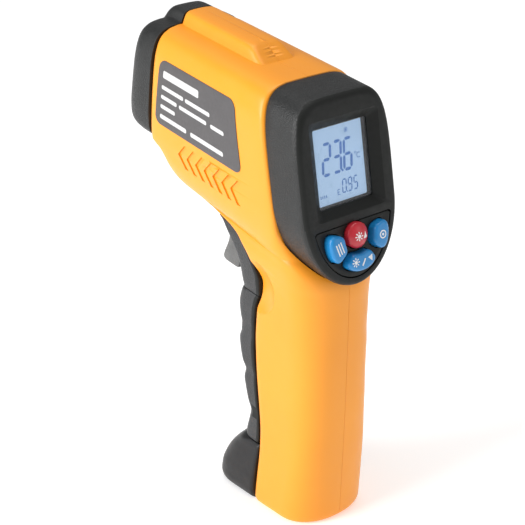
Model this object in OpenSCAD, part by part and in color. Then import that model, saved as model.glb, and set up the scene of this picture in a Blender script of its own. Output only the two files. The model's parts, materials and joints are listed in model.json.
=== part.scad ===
// Pistol infrared thermometer: a barrel with a measuring head at the front,
// a display hood at the rear and a handle that holds two AAA cells.
// Millimetres. The barrel is drawn level, with +Y forward and +Z up, and place()
// then raises the nose so that the foot of the handle stands flat on Z = 0.

/* [Overall] */

// Angle by which the barrel points upward when the handle stands on its base
barrel_rise = 7; // [0:0.5:15]
// Height of the tilted drawing above the base
lift = 79.98; // [70:0.1:90]
// Forward shift that centres the object over the origin
shift_y = -1.6; // [-10:0.1:10]

/* [Housing] */

// Half of the gap between the two housing halves
half_gap = 0.05; // [0.02:0.01:0.2]
// Number of facets around one half of a housing section
around = 26; // [12:2:40]
// Gap between neighbouring pieces of the shell
seam = 0.35; // [0.2:0.05:0.6]
// Rear edge of the base, distance behind the drawing origin
heel_y = -49.5; // [-60:0.5:-40]
// Height below which the sections begin to tilt towards the base
tilt_start = -40; // [-60:1:-20]
// Height of the heel in the level drawing
heel_z = -74.5; // [-85:0.5:-65]

/* [Display hood] */

// Lean of the display face from the vertical, lower edge to the rear
face_tilt = 17.1; // [5:0.1:30]
// Distance of the face centre behind the origin
face_y = -36.2; // [-45:0.1:-25]
// Height of the face centre
face_z = 42; // [30:0.5:55]
// Half width of the hood
hood_w = 19.5; // [17:0.1:22]
// Reach of the hood above its widest line
hood_top = 34.7; // [30:0.1:40]
// Reach of the hood below its widest line
hood_low = 25.5; // [20:0.1:30]
// Widest line of the hood below the face centre
hood_mid = -4; // [-10:0.5:0]
// Depth of the hood from its face to the housing
hood_depth = 14.2; // [8:0.1:18]
// Half width of the bevelled display recess
recess_w = 14.2; // [10:0.1:16]
// Top of the display recess
recess_top = 24.5; // [15:0.1:28]
// Bottom of the display recess
recess_low = -6.1; // [-12:0.1:0]
// Depth of the bevelled recess
recess_depth = 2.2; // [1:0.1:4]
// Half width of the clear opening
glass_w = 11; // [8:0.1:14]
// Top of the clear opening
glass_top = 21.8; // [14:0.1:26]
// Bottom of the clear opening
glass_low = -3.2; // [-8:0.1:2]

/* [Buttons] */

// Travel of each button
button_travel = 0.8; // [0.4:0.1:1.2]
// Height of the button tops above the face
button_proud = 2.9; // [1:0.1:4]
// Diameter of the round button
round_d = 8.2; // [6:0.1:10]
// Clearance around each button
button_gap = 0.35; // [0.2:0.05:0.6]

/* [Trigger] */

// Distance of the trigger pivot ahead of the origin
pivot_y = 4; // [0:0.5:10]
// Height of the trigger pivot
pivot_z = 26.5; // [20:0.5:30]
// Half width of the trigger
trigger_w = 7.2; // [5:0.1:8]
// Diameter of the trigger pin
pin_d = 2.5; // [2:0.1:3]

/* [Measuring head] */

// Height of the optical axis
lens_z = 47.5; // [40:0.5:55]
// Height of the laser
laser_z = 64; // [58:0.5:68]
// Outer diameter of the lens barrel
tube_d = 19; // [14:0.5:22]
// Diameter of the infrared lens
lens_d = 13; // [8:0.5:16]
// Diameter of the laser module
laser_d = 7; // [5:0.5:9]

/* [Battery compartment] */

// Diameter of an AAA cell
cell_d = 10.5; // [10:0.1:11]
// Length of an AAA cell
cell_l = 44.5; // [43:0.1:46]
// Distance of the cell axes behind the origin at mid height
cell_y = -26.6; // [-32:0.5:-22]
// Height of the cell centres
cell_z = -30; // [-40:0.5:-20]
// Distance of the door hinge behind the origin
hinge_y = -14.9; // [-20:0.1:-8]
// Height of the door hinge
hinge_z = -54; // [-60:0.1:-45]
// Diameter of the hinge pin
hinge_d = 1.6; // [1.2:0.1:2.4]

/* [Hidden] */

e = 0.01;
// Slope of the base in the level drawing
base_slope = -tan(barrel_rise);
// Tangent of the face lean
face_slope = tan(face_tilt);

// Rear edge of the housing where it meets the hood
function hood_y(z) = face_y + hood_depth / cos(face_tilt) + (z - face_z) * face_slope;
// Signed power used by the rounded sections
function spow(v, p) = sign(v) * pow(abs(v), p);
// Height of a point on a section that belongs to the station height z
function sec_z(z, y) =
    z + base_slope * min(max((tilt_start - z) / (tilt_start - heel_z), 0), 1) * (y - heel_y);

// Housing stations: height, front edge, rear edge, half width at the rear,
// half width at the front, corner exponent at the front and at the rear
housing_rows = [
    [-74.5, -24.6, -47.6, 14.4, 14.6, 0.2, 0.92],
    [-73.8, -23.6, -48.8, 15.4, 15.6, 0.15, 0.9],
    [-72.4, -23.4, -49.3, 15.8, 16.0, 0.12, 0.9],
    [-66, -23.1, -48.8, 15.6, 15.8, 0.12, 0.86],
    [-58, -22.9, -48.1, 15.4, 15.5, 0.12, 0.82],
    [-49, -21.9, -47.3, 15.1, 15.1, 0.12, 0.77],
    [-40, -19.6, -46.4, 14.8, 14.8, 0.12, 0.74],
    [-30, -17.0, -45.4, 14.6, 14.6, 0.12, 0.72],
    [-22, -15.4, -44.5, 14.5, 14.5, 0.12, 0.72],
    [-14, -14.4, -43.6, 14.6, 14.6, 0.12, 0.72],
    [-7, -14.3, -42.8, 14.7, 14.8, 0.12, 0.78],
    [0, -15.2, -42.0, 15.0, 15.1, 0.12, 0.82],
    [5, -15.0, -41.4, 15.4, 15.5, 0.12, 0.86],
    [9, -12.5, -40.9, 16.1, 16.0, 0.12, 0.84],
    [12.5, -9.5, -40.0, 17.0, 16.4, 0.12, 0.7],
    [15.5, -6.3, -38.6, 17.7, 16.6, 0.12, 0.62],
    [18, -1.5, -36.4, 18.3, 15.8, 0.12, 0.52],
    [19.9, 15.0, -34.0, 18.7, 13.6, 0.15, 0.44],
    [20.1, 31.6, -33.7, 18.7, 11.4, 0.15, 0.44],
    [21.4, 32.4, -32.0, 18.9, 13.2, 0.15, 0.38],
    [23.6, 33.3, -29.2, 19.2, 14.9, 0.14, 0.28],
    [26, 34.4, hood_y(26) - 0.6, 19.5, 16.1, 0.13, 0.16],
    [29, 35.9, hood_y(29), 19.7, 17.1, 0.12, 0.08],
    [31.6, 38.1, hood_y(31.6), 19.85, 17.6, 0.1, 0.08],
    [33.5, 41.0, hood_y(33.5), 19.95, 18.0, 0.08, 0.08],
    [36, 41.0, hood_y(36), 20.0, 18.5, 0.08, 0.08],
    [42, 41.0, hood_y(42), 20.2, 18.9, 0.08, 0.08],
    [50, 41.0, hood_y(50), 20.2, 19.0, 0.08, 0.08],
    [57, 41.0, hood_y(57), 20.0, 18.9, 0.08, 0.08],
    [62, 41.0, hood_y(62), 19.5, 18.6, 0.08, 0.08],
    [65.5, 41.0, hood_y(65.5), 18.6, 17.9, 0.08, 0.08],
    [68, 41.0, hood_y(68), 17.3, 16.9, 0.08, 0.08],
    [69.8, 41.0, hood_y(69.8), 15.4, 15.2, 0.08, 0.08],
    [70.9, 41.0, hood_y(70.9), 12.8, 12.9, 0.08, 0.08],
    [71.4, 41.0, hood_y(71.4), 9.8, 10.0, 0.08, 0.08],
    [71.5, 41.0, 1.2, 7.4, 7.4, 0.08, 0.2],
    [73, 41.0, 3.8, 6.9, 6.9, 0.08, 0.2],
    [74.6, 41.0, 6.6, 6.1, 6.1, 0.08, 0.2],
    [75.4, 41.0, 8.6, 4.7, 4.7, 0.08, 0.25],
    [75.6, 41.0, 9.8, 2.6, 2.6, 0.08, 0.3]
];

// Cavity stations, with the open ends carried past the shell
cavity_rows = [
    [-71.6, -20, -46.6, 13.4, 13.4, 0.2, 0.84],
    [-60, -20, -45.9, 13.2, 13.2, 0.12, 0.8],
    [-49, -19, -44.9, 12.8, 12.8, 0.12, 0.77],
    [-40, -17, -44.0, 12.5, 12.5, 0.12, 0.74],
    [-22, -12.5, -42.1, 12.3, 12.3, 0.12, 0.72],
    [-7, -11.5, -40.4, 12.6, 12.6, 0.12, 0.74],
    [5, -12.0, -39.0, 13.4, 13.2, 0.12, 0.78],
    [9, -9.5, -38.4, 14.1, 13.8, 0.12, 0.76],
    [15.5, -2.0, -35.9, 15.4, 13.8, 0.12, 0.62],
    [18, 6.0, -33.6, 16.0, 12.0, 0.12, 0.5],
    [20.4, 8.0, -31.0, 16.4, 11.0, 0.12, 0.44],
    [22.5, 9.0, -28.4, 16.8, 11.4, 0.12, 0.3],
    [22.9, 30.8, hood_y(22.9) - 1, 16.8, 11.4, 0.14, 0.3],
    [26, 31.6, hood_y(26) - 2, 17.2, 13.6, 0.13, 0.16],
    [31.6, 35.2, hood_y(31.6) - 2, 17.7, 15.4, 0.1, 0.08],
    [36, 43.0, hood_y(36) - 2, 17.9, 16.3, 0.08, 0.08],
    [42, 43.0, hood_y(42) - 2, 18.0, 16.7, 0.08, 0.08],
    [50, 43.0, hood_y(50) - 2, 18.0, 16.8, 0.08, 0.08],
    [57, 43.0, hood_y(57) - 2, 17.8, 16.7, 0.08, 0.08],
    [62, 43.0, hood_y(62) - 2, 17.2, 16.0, 0.08, 0.08],
    [65.5, 43.0, hood_y(65.5) - 2, 16.1, 15.4, 0.08, 0.08],
    [67.6, 43.0, hood_y(67.6) - 2, 14.4, 13.2, 0.08, 0.08],
    [68.8, 43.0, hood_y(68.8) - 2, 11.2, 10.4, 0.08, 0.08]
];

// Battery door outside: finger grooves run down its front
door_rows = [
    [-1.5, -4.2, -14.5, 13.7, 13.7, 0.62, 0.1],
    [-2.3, -3.5, -14.3, 14.0, 14.0, 0.6, 0.1],
    [-7, -2.9, -13.9, 14.3, 14.3, 0.6, 0.1],
    [-11.5, -3.9, -13.9, 14.2, 14.2, 0.6, 0.1],
    [-14.6, -5.0, -14.1, 14.0, 14.0, 0.6, 0.1],
    [-17.6, -5.1, -14.4, 14.0, 14.0, 0.6, 0.1],
    [-20.5, -4.4, -14.7, 14.1, 14.1, 0.6, 0.1],
    [-24, -5.2, -15.3, 14.1, 14.1, 0.6, 0.1],
    [-28, -6.9, -16.2, 14.1, 14.1, 0.6, 0.1],
    [-31, -9.2, -16.9, 13.9, 13.9, 0.6, 0.1],
    [-34, -8.8, -17.6, 14.1, 14.1, 0.6, 0.1],
    [-37, -9.9, -18.4, 14.2, 14.2, 0.6, 0.1],
    [-41, -12.0, -19.5, 14.3, 14.3, 0.6, 0.1],
    [-44.4, -14.4, -20.4, 14.2, 14.2, 0.6, 0.1],
    [-47, -14.0, -21.0, 14.4, 14.4, 0.6, 0.1],
    [-50, -13.2, -21.6, 14.5, 14.5, 0.6, 0.1],
    [-52.4, -12.7, -21.8, 14.5, 14.5, 0.62, 0.1],
    [-53.35, -13.0, -21.6, 14.4, 14.4, 0.63, 0.1],
    [-54.1, -13.8, -21.4, 14.1, 14.1, 0.64, 0.1],
    [-54.4, -14.9, -21.4, 13.7, 13.7, 0.66, 0.1]
];

// Battery door inside
door_cavity_rows = [
    [-4.4, -5.6, -17, 12.0, 12.0, 0.55, 0.1],
    [-11.5, -6.3, -17, 12.1, 12.1, 0.55, 0.1],
    [-17.6, -7.4, -18, 11.9, 11.9, 0.55, 0.1],
    [-22, -7.4, -19, 11.9, 11.9, 0.55, 0.1],
    [-30.5, -11.4, -21, 11.8, 11.8, 0.55, 0.1],
    [-37, -12.6, -22, 12.0, 12.0, 0.55, 0.1],
    [-43, -16.4, -24, 12.0, 12.0, 0.55, 0.1],
    [-47.5, -17.2, -25, 12.2, 12.2, 0.55, 0.1]
];

// Foot: the rounded toe in front of the base
foot_rows = [
    [-54.7, -13.3, -22.4, 13.9, 13.9, 0.66, 0.1],
    [-55.1, -11.6, -22.4, 14.4, 14.4, 0.64, 0.1],
    [-55.8, -10.1, -22.4, 14.7, 14.7, 0.63, 0.1],
    [-57.6, -8.0, -22.5, 15.0, 15.0, 0.62, 0.1],
    [-61, -5.0, -22.6, 15.6, 15.6, 0.6, 0.1],
    [-64.5, -2.9, -22.7, 16.0, 16.0, 0.6, 0.1],
    [-68, -1.6, -22.9, 16.3, 16.3, 0.6, 0.1],
    [-71, -1.3, -23.0, 16.3, 16.3, 0.6, 0.1],
    [-73, -2.0, -23.1, 15.9, 15.9, 0.6, 0.1],
    [-74.1, -3.4, -23.2, 15.0, 15.0, 0.62, 0.1],
    [-74.5, -4.8, -24.0, 14.0, 14.0, 0.64, 0.1]
];

// Trigger surround below the barrel
surround_rows = [
    [-1.1, -4.0, -14.7, 13.8, 13.8, 0.6, 0.1],
    [1.5, -3.2, -14.9, 14.3, 14.3, 0.58, 0.1],
    [5, -2.2, -14.6, 14.6, 14.6, 0.56, 0.1],
    [9, -0.4, -12.1, 14.8, 14.8, 0.54, 0.1],
    [12.5, 2.2, -9.1, 14.9, 14.9, 0.5, 0.1],
    [15.5, 5.4, -5.9, 14.9, 14.9, 0.46, 0.1],
    [17.6, 9.0, -1.6, 14.4, 14.4, 0.44, 0.1],
    [18.2, 10.2, 0.9, 14.2, 14.2, 0.44, 0.1],
    [19.0, 12.3, 7.7, 13.9, 13.9, 0.43, 0.1],
    [19.5, 13.6, 12.0, 13.6, 13.6, 0.42, 0.1]
];

// One point of a rounded section at angle a measured from the front
function sec_point(row, a, inset = 0) =
    let (
        front = row[1] - inset,
        rear = row[2] + inset,
        mid = (front * 0.45 + rear * 0.55),
        c = cos(a),
        s = sin(a),
        p = c > 0 ? row[5] : row[6],
        y = c > 0 ? mid + (front - mid) * spow(c, p) : mid + (mid - rear) * spow(c, p),
        f = (y - rear) / (front - rear),
        w = row[3] + (row[4] - row[3]) * f - inset,
        x = w * spow(s, p)
    )
    [x, y, sec_z(row[0], y)];

// Rows in rising order
function rising(rows) =
    rows[1][0] > rows[0][0] ? rows : [for (i = [len(rows) - 1:-1:0]) rows[i]];

// Solid half loft on the +X side of the mid plane
module half_loft(rows, n = around, gap = half_gap) {
    m = n + 1;
    top = len(rows) - 1;
    pts = [
        for (r = rows)
            for (i = [0:n])
                let (p = sec_point(r, 180 * i / n))
                [i == 0 || i == n ? gap : max(p[0], 0) + max(gap, 0), p[1], p[2]]
    ];
    faces = concat(
        [[for (i = [n:-1:0]) i]],
        [[for (i = [0:n]) top * m + i]],
        [
            for (k = [0:top - 1])
                for (i = [0:n - 1])
                    [k * m + i, k * m + i + 1, (k + 1) * m + i + 1]
        ],
        [
            for (k = [0:top - 1])
                for (i = [0:n - 1])
                    [k * m + i, (k + 1) * m + i + 1, (k + 1) * m + i]
        ],
        [
            for (k = [0:top - 1])
                [k * m, (k + 1) * m, (k + 1) * m + n]
        ],
        [
            for (k = [0:top - 1])
                [k * m, (k + 1) * m + n, k * m + n]
        ]
    );
    polyhedron(points = pts, faces = faces, convexity = 8);
}

// Solid loft all the way round
module full_loft(rows, n = 36) {
    up = rising(rows);
    top = len(up) - 1;
    pts = [
        for (r = up)
            for (i = [0:n - 1])
                sec_point(r, 360 * (i + 0.5) / n)
    ];
    faces = concat(
        [[for (i = [n - 1:-1:0]) i]],
        [[for (i = [0:n - 1]) top * n + i]],
        [
            for (k = [0:top - 1])
                for (i = [0:n - 1])
                    [k * n + i, k * n + (i + 1) % n, (k + 1) * n + (i + 1) % n]
        ],
        [
            for (k = [0:top - 1])
                for (i = [0:n - 1])
                    [k * n + i, (k + 1) * n + (i + 1) % n, (k + 1) * n + i]
        ]
    );
    polyhedron(points = pts, faces = faces, convexity = 8);
}

// Raises the barrel and stands the object on its base
module place() {
    translate([0, shift_y, lift])
        rotate([barrel_rise, 0, 0])
            children();
}

// Frame of the display face: x across, y up the face, z outward
module on_face() {
    translate([0, face_y, face_z])
        rotate([90 - face_tilt, 0, 0])
            children();
}

// Frame of the battery cells
module on_cells() {
    translate([0, cell_y, cell_z])
        rotate([-barrel_rise, 0, 0])
            children();
}

// Cylinder along Y
module rod_y(d, y0, y1, z, x = 0) {
    translate([x, y1, z])
        rotate([90, 0, 0])
            cylinder(d = d, h = y1 - y0, $fn = 64);
}

// Faceted bar along Y
module prism_y(d, y0, y1, z, n = 60) {
    translate([0, y1, z])
        rotate([90, 0, 0])
            linear_extrude(height = y1 - y0)
                polygon([for (i = [0:n - 1]) [cos(360 * i / n), sin(360 * i / n)] * d / 2]);
}

// Cylinder along X
module rod_x(d, x0, x1, y, z) {
    translate([x0, y, z])
        rotate([0, 90, 0])
            cylinder(d = d, h = x1 - x0, $fn = 48);
}

// Block between two corners
module block(a, b) {
    translate(a)
        cube(b - a);
}

// Outline of the hood in the plane of the face, moved inward by d
function hood_outline(d = 0, n = 72) = [
    for (i = [0:n - 1])
        let (
            c = cos(360 * i / n),
            s = sin(360 * i / n),
            p = s > 0 ? 0.4 : 1,
            h = s > 0 ? hood_top : hood_low
        )
        [(hood_w - d) * spow(c, p), hood_mid + (h - d) * spow(s, p)]
];

// Bar along Y whose section is the hood outline seen from behind
module hood_bar(d) {
    translate([0, 40, face_z])
        rotate([90, 0, 0])
            linear_extrude(height = 110)
                polygon([for (p = hood_outline(d)) [p[0], p[1] * cos(face_tilt)]]);
}

// Part of the hood bar between two depths measured from the face
module hood_slice(d, z0, z1) {
    intersection() {
        hood_bar(d);
        on_face()
            block([-30, -60, z0], [30, 60, z1]);
    }
}

// Rounded sector around the round button
function sector(r, dr, a, da, n = 40) = [
    for (i = [0:n - 1])
        let (
            c = cos(360 * i / n),
            s = sin(360 * i / n),
            rr = r + dr * spow(c, 0.55),
            aa = a + da * spow(s, 0.55)
        )
        [rr * cos(aa), button_v + rr * sin(aa)]
];

// Height of the round button on the face
button_v = -12.8;
// Buttons around it: mean radius, half depth, direction, half width in degrees
unit_button = [8.4, 2.8, 270, 36];
select_button = [9.2, 3.1, 192, 25];
emit_button = [9.2, 3.1, 348, 25];

// Half width of the housing side at a given place
function tab(z, k) = lookup(z, [for (r = housing_rows) [r[0], r[k]]]);
function side_x(y, z) =
    let (
        front = tab(z, 1),
        rear = tab(z, 2),
        mid = front * 0.45 + rear * 0.55,
        p = y > mid ? tab(z, 5) : tab(z, 6),
        c = y > mid ? (y - mid) / (front - mid) : (mid - y) / (mid - rear),
        ca = pow(c, 1 / p),
        f = (y - rear) / (front - rear)
    )
    (tab(z, 3) + (tab(z, 4) - tab(z, 3)) * f) * pow(sqrt(1 - ca * ca), p);

// Screws: distance forward, height, reach of the boss
screw_places = [
    [30, 32.6, 16.8],
    [9, 65, 16.3],
    [-14, 28, 17.4],
    [-34, 4, 12.6],
    [-33, -64, 13.6]
];

// Chevrons on the side: seven marks pointing forward
chevron_count = 7;
chevron_y = 24.6;
chevron_pitch = 4.62;
chevron_z = 34.6;
chevron_half = 4.1;
chevron_arm = 3.4;
chevron_wide = 1.9;

module chevrons() {
    for (i = [0:chevron_count - 1]) {
        y = chevron_y - i * chevron_pitch;
        x = side_x(y - 2, chevron_z) - 0.5;
        translate([x, 0, 0])
            rotate([90, 0, 90])
                linear_extrude(height = 3)
                    polygon([
                        [y, chevron_z],
                        [y - chevron_arm, chevron_z + chevron_half],
                        [y - chevron_arm - chevron_wide, chevron_z + chevron_half],
                        [y - chevron_wide, chevron_z],
                        [y - chevron_arm - chevron_wide, chevron_z - chevron_half],
                        [y - chevron_arm, chevron_z - chevron_half]
                    ]);
    }
}

// Everything both housing halves share, drawn on the +X side
module housing_half(head) {
    difference() {
        union() {
            difference() {
                half_loft(housing_rows);
                half_loft(cavity_rows, gap = -2);
                // Seat of the hood
                hood_slice(-seam, -hood_depth, 8);
                // Opening for the trigger
                block([-1, -6, 16], [trigger_w + 0.7, 17.2, 23.6]);
                chevrons();
            }
            for (s = screw_places)
                rod_x(6.4, half_gap, s[2], s[0], s[1]);
            // Trigger pin boss
            rod_x(6, trigger_w + 0.8, 16.4, pivot_y, pivot_z);
        }
        for (s = screw_places) {
            rod_x(head ? 2.6 : 2.3, -1, head ? 12 : 9.5, s[0], s[1]);
            if (head)
                rod_x(5.2, 9, 24, s[0], s[1]);
        }
        rod_x(pin_d + 0.1, trigger_w, 12.2, pivot_y, pivot_z);
    }
}

module right_housing() {
    color("orange")
        place()
            housing_half(true);
}

module left_housing() {
    color("orange")
        place()
            mirror([1, 0, 0])
                housing_half(false);
}

// Nose stations: distance forward, inset, share of the ridge that remains
nose_rows = [
    [41.35, 0, 1],
    [45.5, 0.05, 1],
    [48.4, 0.25, 1],
    [50.2, 0.5, 0.95],
    [51.8, 0.9, 0.76],
    [53.2, 1.5, 0.42],
    [54.5, 2.3, 0.14],
    [55.3, 3.2, 0.06],
    [55.6, 4.2, 0.04]
];

// Half outline of the nose from the ridge down to the keel
nose_side = [
    [0, 75.65], [2.6, 75.6], [4.7, 75.4], [6.1, 74.6], [6.9, 73], [7.4, 71.7],
    [10, 71.4], [12.9, 70.9], [15.2, 69.8], [16.9, 68], [17.9, 65.5], [18.6, 62],
    [18.95, 57], [19, 50], [18.9, 43], [18.55, 39], [18, 36.2], [16.6, 34.2],
    [14, 33.2], [8, 32.9], [0, 32.8]
];

// One nose point: q is the outline point, r the station
nose_mid = 50;
function nose_point(q, r, side) =
    let (
        flat = min(q[1], 71.4),
        z = flat + (q[1] - flat) * r[2],
        kx = 1 - r[1] / 19,
        kz = 1 - r[1] / 20.5,
        lean = (r[0] - 41.35) / 13.85
    )
    [side * q[0] * kx, r[0] - lean * 0.065 * (z - 36), nose_mid + (z - nose_mid) * kz];

// Cavity outline: the nose outline without its ridge, moved inward
nose_shrink = 0.88;
nose_half = [
    for (q = nose_side)
        if (q[0] > 8 && q[1] > 33)
            [q[0] * nose_shrink, nose_mid + (q[1] - nose_mid) * nose_shrink]
];
nose_inside = concat(
    nose_half,
    [for (i = [len(nose_half) - 1:-1:0]) [-nose_half[i][0], nose_half[i][1]]]
);

module nose_solid() {
    k = len(nose_side);
    n = 2 * k - 2;
    top = len(nose_rows) - 1;
    pts = [
        for (r = nose_rows)
            for (i = [0:n - 1])
                let (j = i < k ? i : n - i)
                nose_point(nose_side[j], r, i < k ? 1 : -1)
    ];
    faces = concat(
        [[for (i = [0:n - 1]) i]],
        [[for (i = [n - 1:-1:0]) top * n + i]],
        [
            for (a = [0:top - 1])
                for (i = [0:n - 1])
                    [a * n + i, (a + 1) * n + (i + 1) % n, a * n + (i + 1) % n]
        ],
        [
            for (a = [0:top - 1])
                for (i = [0:n - 1])
                    [a * n + i, (a + 1) * n + i, (a + 1) * n + (i + 1) % n]
        ]
    );
    polyhedron(points = pts, faces = faces, convexity = 8);
}

module nose_cap() {
    color("dimgray")
        place()
            difference() {
                nose_solid();
                // Cavity behind the front plate
                translate([0, 50.4, 0])
                    rotate([90, 0, 0])
                        linear_extrude(height = 12)
                            polygon(nose_inside);
                // Measuring opening with a wide mouth
                prism_y(20.4, 40, 60, lens_z);
                // Laser opening
                prism_y(5, 40, 60, laser_z);
            }
}

module lens_tube() {
    color("black")
        place()
            difference() {
                union() {
                    rod_y(tube_d, 20, 52.4, lens_z);
                    rod_y(tube_d + 5, 36.5, 38.5, lens_z);
                }
                rod_y(lens_d + 0.1, 44, 47.2, lens_z);
                rod_y(tube_d - 3, 47.2, 53, lens_z);
                rod_y(lens_d - 2, 22, 45, lens_z);
                rod_y(9.4, 19, 23.2, lens_z);
            }
}

module ir_lens() {
    color("white")
        place()
            intersection() {
                rod_y(lens_d, 44.1, 47, lens_z);
                translate([0, 20, lens_z])
                    sphere(r = 26.9, $fn = 96);
            }
}

module lens_ring() {
    color("dimgray")
        place()
            difference() {
                rod_y(tube_d - 3.1, 47.3, 49, lens_z);
                rod_y(lens_d - 2, 47, 50, lens_z);
            }
}

module thermopile() {
    color("silver")
        place() {
            rod_y(9.2, 18.3, 22.9, lens_z);
            rod_y(8, 17.6, 18.3, lens_z);
        }
}

module sensor_board() {
    color("darkgreen")
        place()
            difference() {
                block([-12, 15.9, 38], [12, 17.5, 58]);
                for (x = [-9.5, 9.5])
                    rod_y(2.4, 15, 19, 41, x);
            }
}

module sensor_holder() {
    color("black")
        place()
            difference() {
                block([-12.5, 17.8, 37.6], [12.5, 26, 58.2]);
                rod_y(tube_d + 0.1, 19.9, 27, lens_z);
                rod_y(9.4, 17, 20, lens_z);
            }
}

module laser_module() {
    color("goldenrod")
        place()
            difference() {
                rod_y(laser_d, 28, 48.2, laser_z);
                rod_y(3.6, 46, 49, laser_z);
            }
}

module laser_window() {
    color("red")
        place()
            rod_y(4.8, 51, 52.2, laser_z);
}

module laser_clamp() {
    color("black")
        place()
            difference() {
                block([-6, 30, 59.3], [6, 35, 68]);
                rod_y(laser_d + 0.06, 29, 36, laser_z);
            }
}

// Rectangle on the face from a to b
module pane(hw, low, high, z0, z1) {
    block([-hw, low, z0], [hw, high, z1]);
}

// Keypad outline: lower part of the hood outline below the groove
module keypad_outline(d) {
    intersection() {
        polygon(hood_outline(3.1 + d));
        translate([-30, -40])
            square([60, 40 - 8.6 - d]);
    }
}

rim_steps = [[-2.2, 0], [-1.3, 0.25], [-0.7, 0.6], [-0.3, 1.1]];
plate_z = -2.6;

module display_bezel() {
    color("#2b2c2b")
        place()
            difference() {
                union() {
                    hood_slice(0, seam - hood_depth, rim_steps[0][0]);
                    for (i = [0:3])
                        hood_slice(rim_steps[i][1], rim_steps[i][0], i < 3 ? rim_steps[i + 1][0] : 0);
                }
                // Hollow behind the face
                hood_slice(2.2, -hood_depth - 1, plate_z);
                on_face() {
                    // Bevelled recess
                    hull() {
                        pane(recess_w, recess_low, recess_top, 0, 0.5);
                        pane(glass_w, glass_low, glass_top, -recess_depth, -recess_depth + 0.02);
                    }
                    pane(glass_w, glass_low, glass_top, -5, -recess_depth + 0.01);
                    // Keypad opening
                    translate([0, 0, -5])
                        linear_extrude(height = 6)
                            keypad_outline(0);
                }
            }
}

module lcd_window() {
    color("lightcyan")
        place()
            on_face()
                pane(glass_w + 1.4, glass_low - 1.4, glass_top + 1.4, -3.45, -2.65);
}

module lcd_panel() {
    color("lightblue")
        place()
            on_face()
                pane(12.6, -7.4, 23.4, -5.2, -3.6);
}

module backlight() {
    color("white")
        place()
            on_face()
                pane(12.2, -3.6, 23, -7.6, -5.35);
}

module zebra_strip() {
    color("pink")
        place()
            on_face()
                pane(11.5, -6.9, -4.4, -9.75, -5.3);
}

module keypad_panel() {
    color("#242524")
        place()
            on_face()
                difference() {
                    translate([0, 0, plate_z])
                        linear_extrude(height = 2.45)
                            keypad_outline(seam);
                    translate([0, button_v, -3])
                        cylinder(d = round_d + 2 * button_gap, h = 4, $fn = 64);
                    for (b = [unit_button, select_button, emit_button])
                        translate([0, 0, -3])
                            linear_extrude(height = 4)
                                polygon(sector(b[0], b[1] + button_gap, b[2], b[3] + button_gap * 57.3 / b[0]));
                }
}

// Cap tops are stepped in towards the crown: height share, inset
crown = [[0, 0], [0.72, 0.2], [0.88, 0.55]];

module sector_button(b) {
    place()
        on_face() {
            for (i = [0:2]) {
                z0 = i == 0 ? -3.6 : crown[i][0] * button_proud;
                z1 = i == 2 ? button_proud : crown[i + 1][0] * button_proud;
                translate([0, 0, z0])
                    linear_extrude(height = z1 - z0)
                        polygon(sector(b[0], b[1] - crown[i][1], b[2], b[3] - crown[i][1] * 57.3 / b[0]));
            }
            // Collar under the panel
            translate([0, 0, -3.6])
                linear_extrude(height = 0.8)
                    polygon(sector(b[0], b[1] + 0.6, b[2], b[3] + 0.6 * 57.3 / b[0]));
            // Stem
            translate([b[0] * cos(b[2]), button_v + b[0] * sin(b[2]), -7.5])
                cylinder(d = 3, h = 4, $fn = 32);
        }
}

module button_laser() {
    color("crimson")
        place()
            on_face()
                translate([0, button_v, 0]) {
                    intersection() {
                        translate([0, 0, -3.6])
                            cylinder(d = round_d, h = 3.6 + button_proud, $fn = 64);
                        translate([0, 0, button_proud - 6.4])
                            sphere(r = 6.4, $fn = 96);
                    }
                    translate([0, 0, -3.6])
                        cylinder(d = round_d + 1.2, h = 0.8, $fn = 64);
                    translate([0, 0, -7.5])
                        cylinder(d = 3, h = 4, $fn = 32);
                }
}

module button_unit() {
    color("dodgerblue")
        sector_button(unit_button);
}

module button_select() {
    color("dodgerblue")
        sector_button(select_button);
}

module button_emit() {
    color("dodgerblue")
        sector_button(emit_button);
}

module contact_sheet() {
    color("gray")
        place()
            on_face() {
                translate([0, 0, -9.8])
                    linear_extrude(height = 0.8)
                        intersection() {
                            translate([0, 9.4 * face_slope])
                                polygon(hood_outline(3.4));
                            translate([-30, -40])
                                square([60, 31.6]);
                        }
                for (b = [unit_button, select_button, emit_button])
                    translate([b[0] * cos(b[2]), button_v + b[0] * sin(b[2]), -9.1])
                        cylinder(d = 3.8, h = 0.6, $fn = 32);
                translate([0, button_v, -9.1])
                    cylinder(d = 3.8, h = 0.6, $fn = 32);
            }
}

module main_pcb() {
    color("darkgreen")
        place()
            on_face()
                translate([0, 11 * face_slope, -11.6]) {
                    linear_extrude(height = 1.6)
                        polygon(hood_outline(2.9));
                    // Components on the rear side
                    for (c = [[-6, 8, 9, 9, 1.6], [7, 14, 6, 5, 1.4], [8, 2, 5, 4, 1.2], [-9, -10, 4, 6, 1.8]])
                        translate([c[0] - c[2] / 2, c[1] - c[3] / 2, -c[4]])
                            cube([c[2], c[3], c[4] + 0.1]);
                }
}

module buzzer() {
    color("black")
        place()
            on_face()
                translate([5, -14, -16])
                    difference() {
                        cylinder(d = 9, h = 4.3, $fn = 48);
                        translate([0, 0, -0.1])
                            cylinder(d = 1.6, h = 1, $fn = 24);
                    }
}

// Slot of the trigger in its surround: rear wall and thickness of that wall
slot_rear = -4.4;
web = 1.2;
// Trigger spring: height, front end, number of coils, depth of its seat
spring_z = 8;
spring_front = 4.5;
spring_coils = 7;
spring_seat = 0.6;
spring_pitch = (spring_front - slot_rear + spring_seat - 0.6) / (spring_coils - 1);
// Height of the switch lever
switch_z = 17.2;

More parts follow.
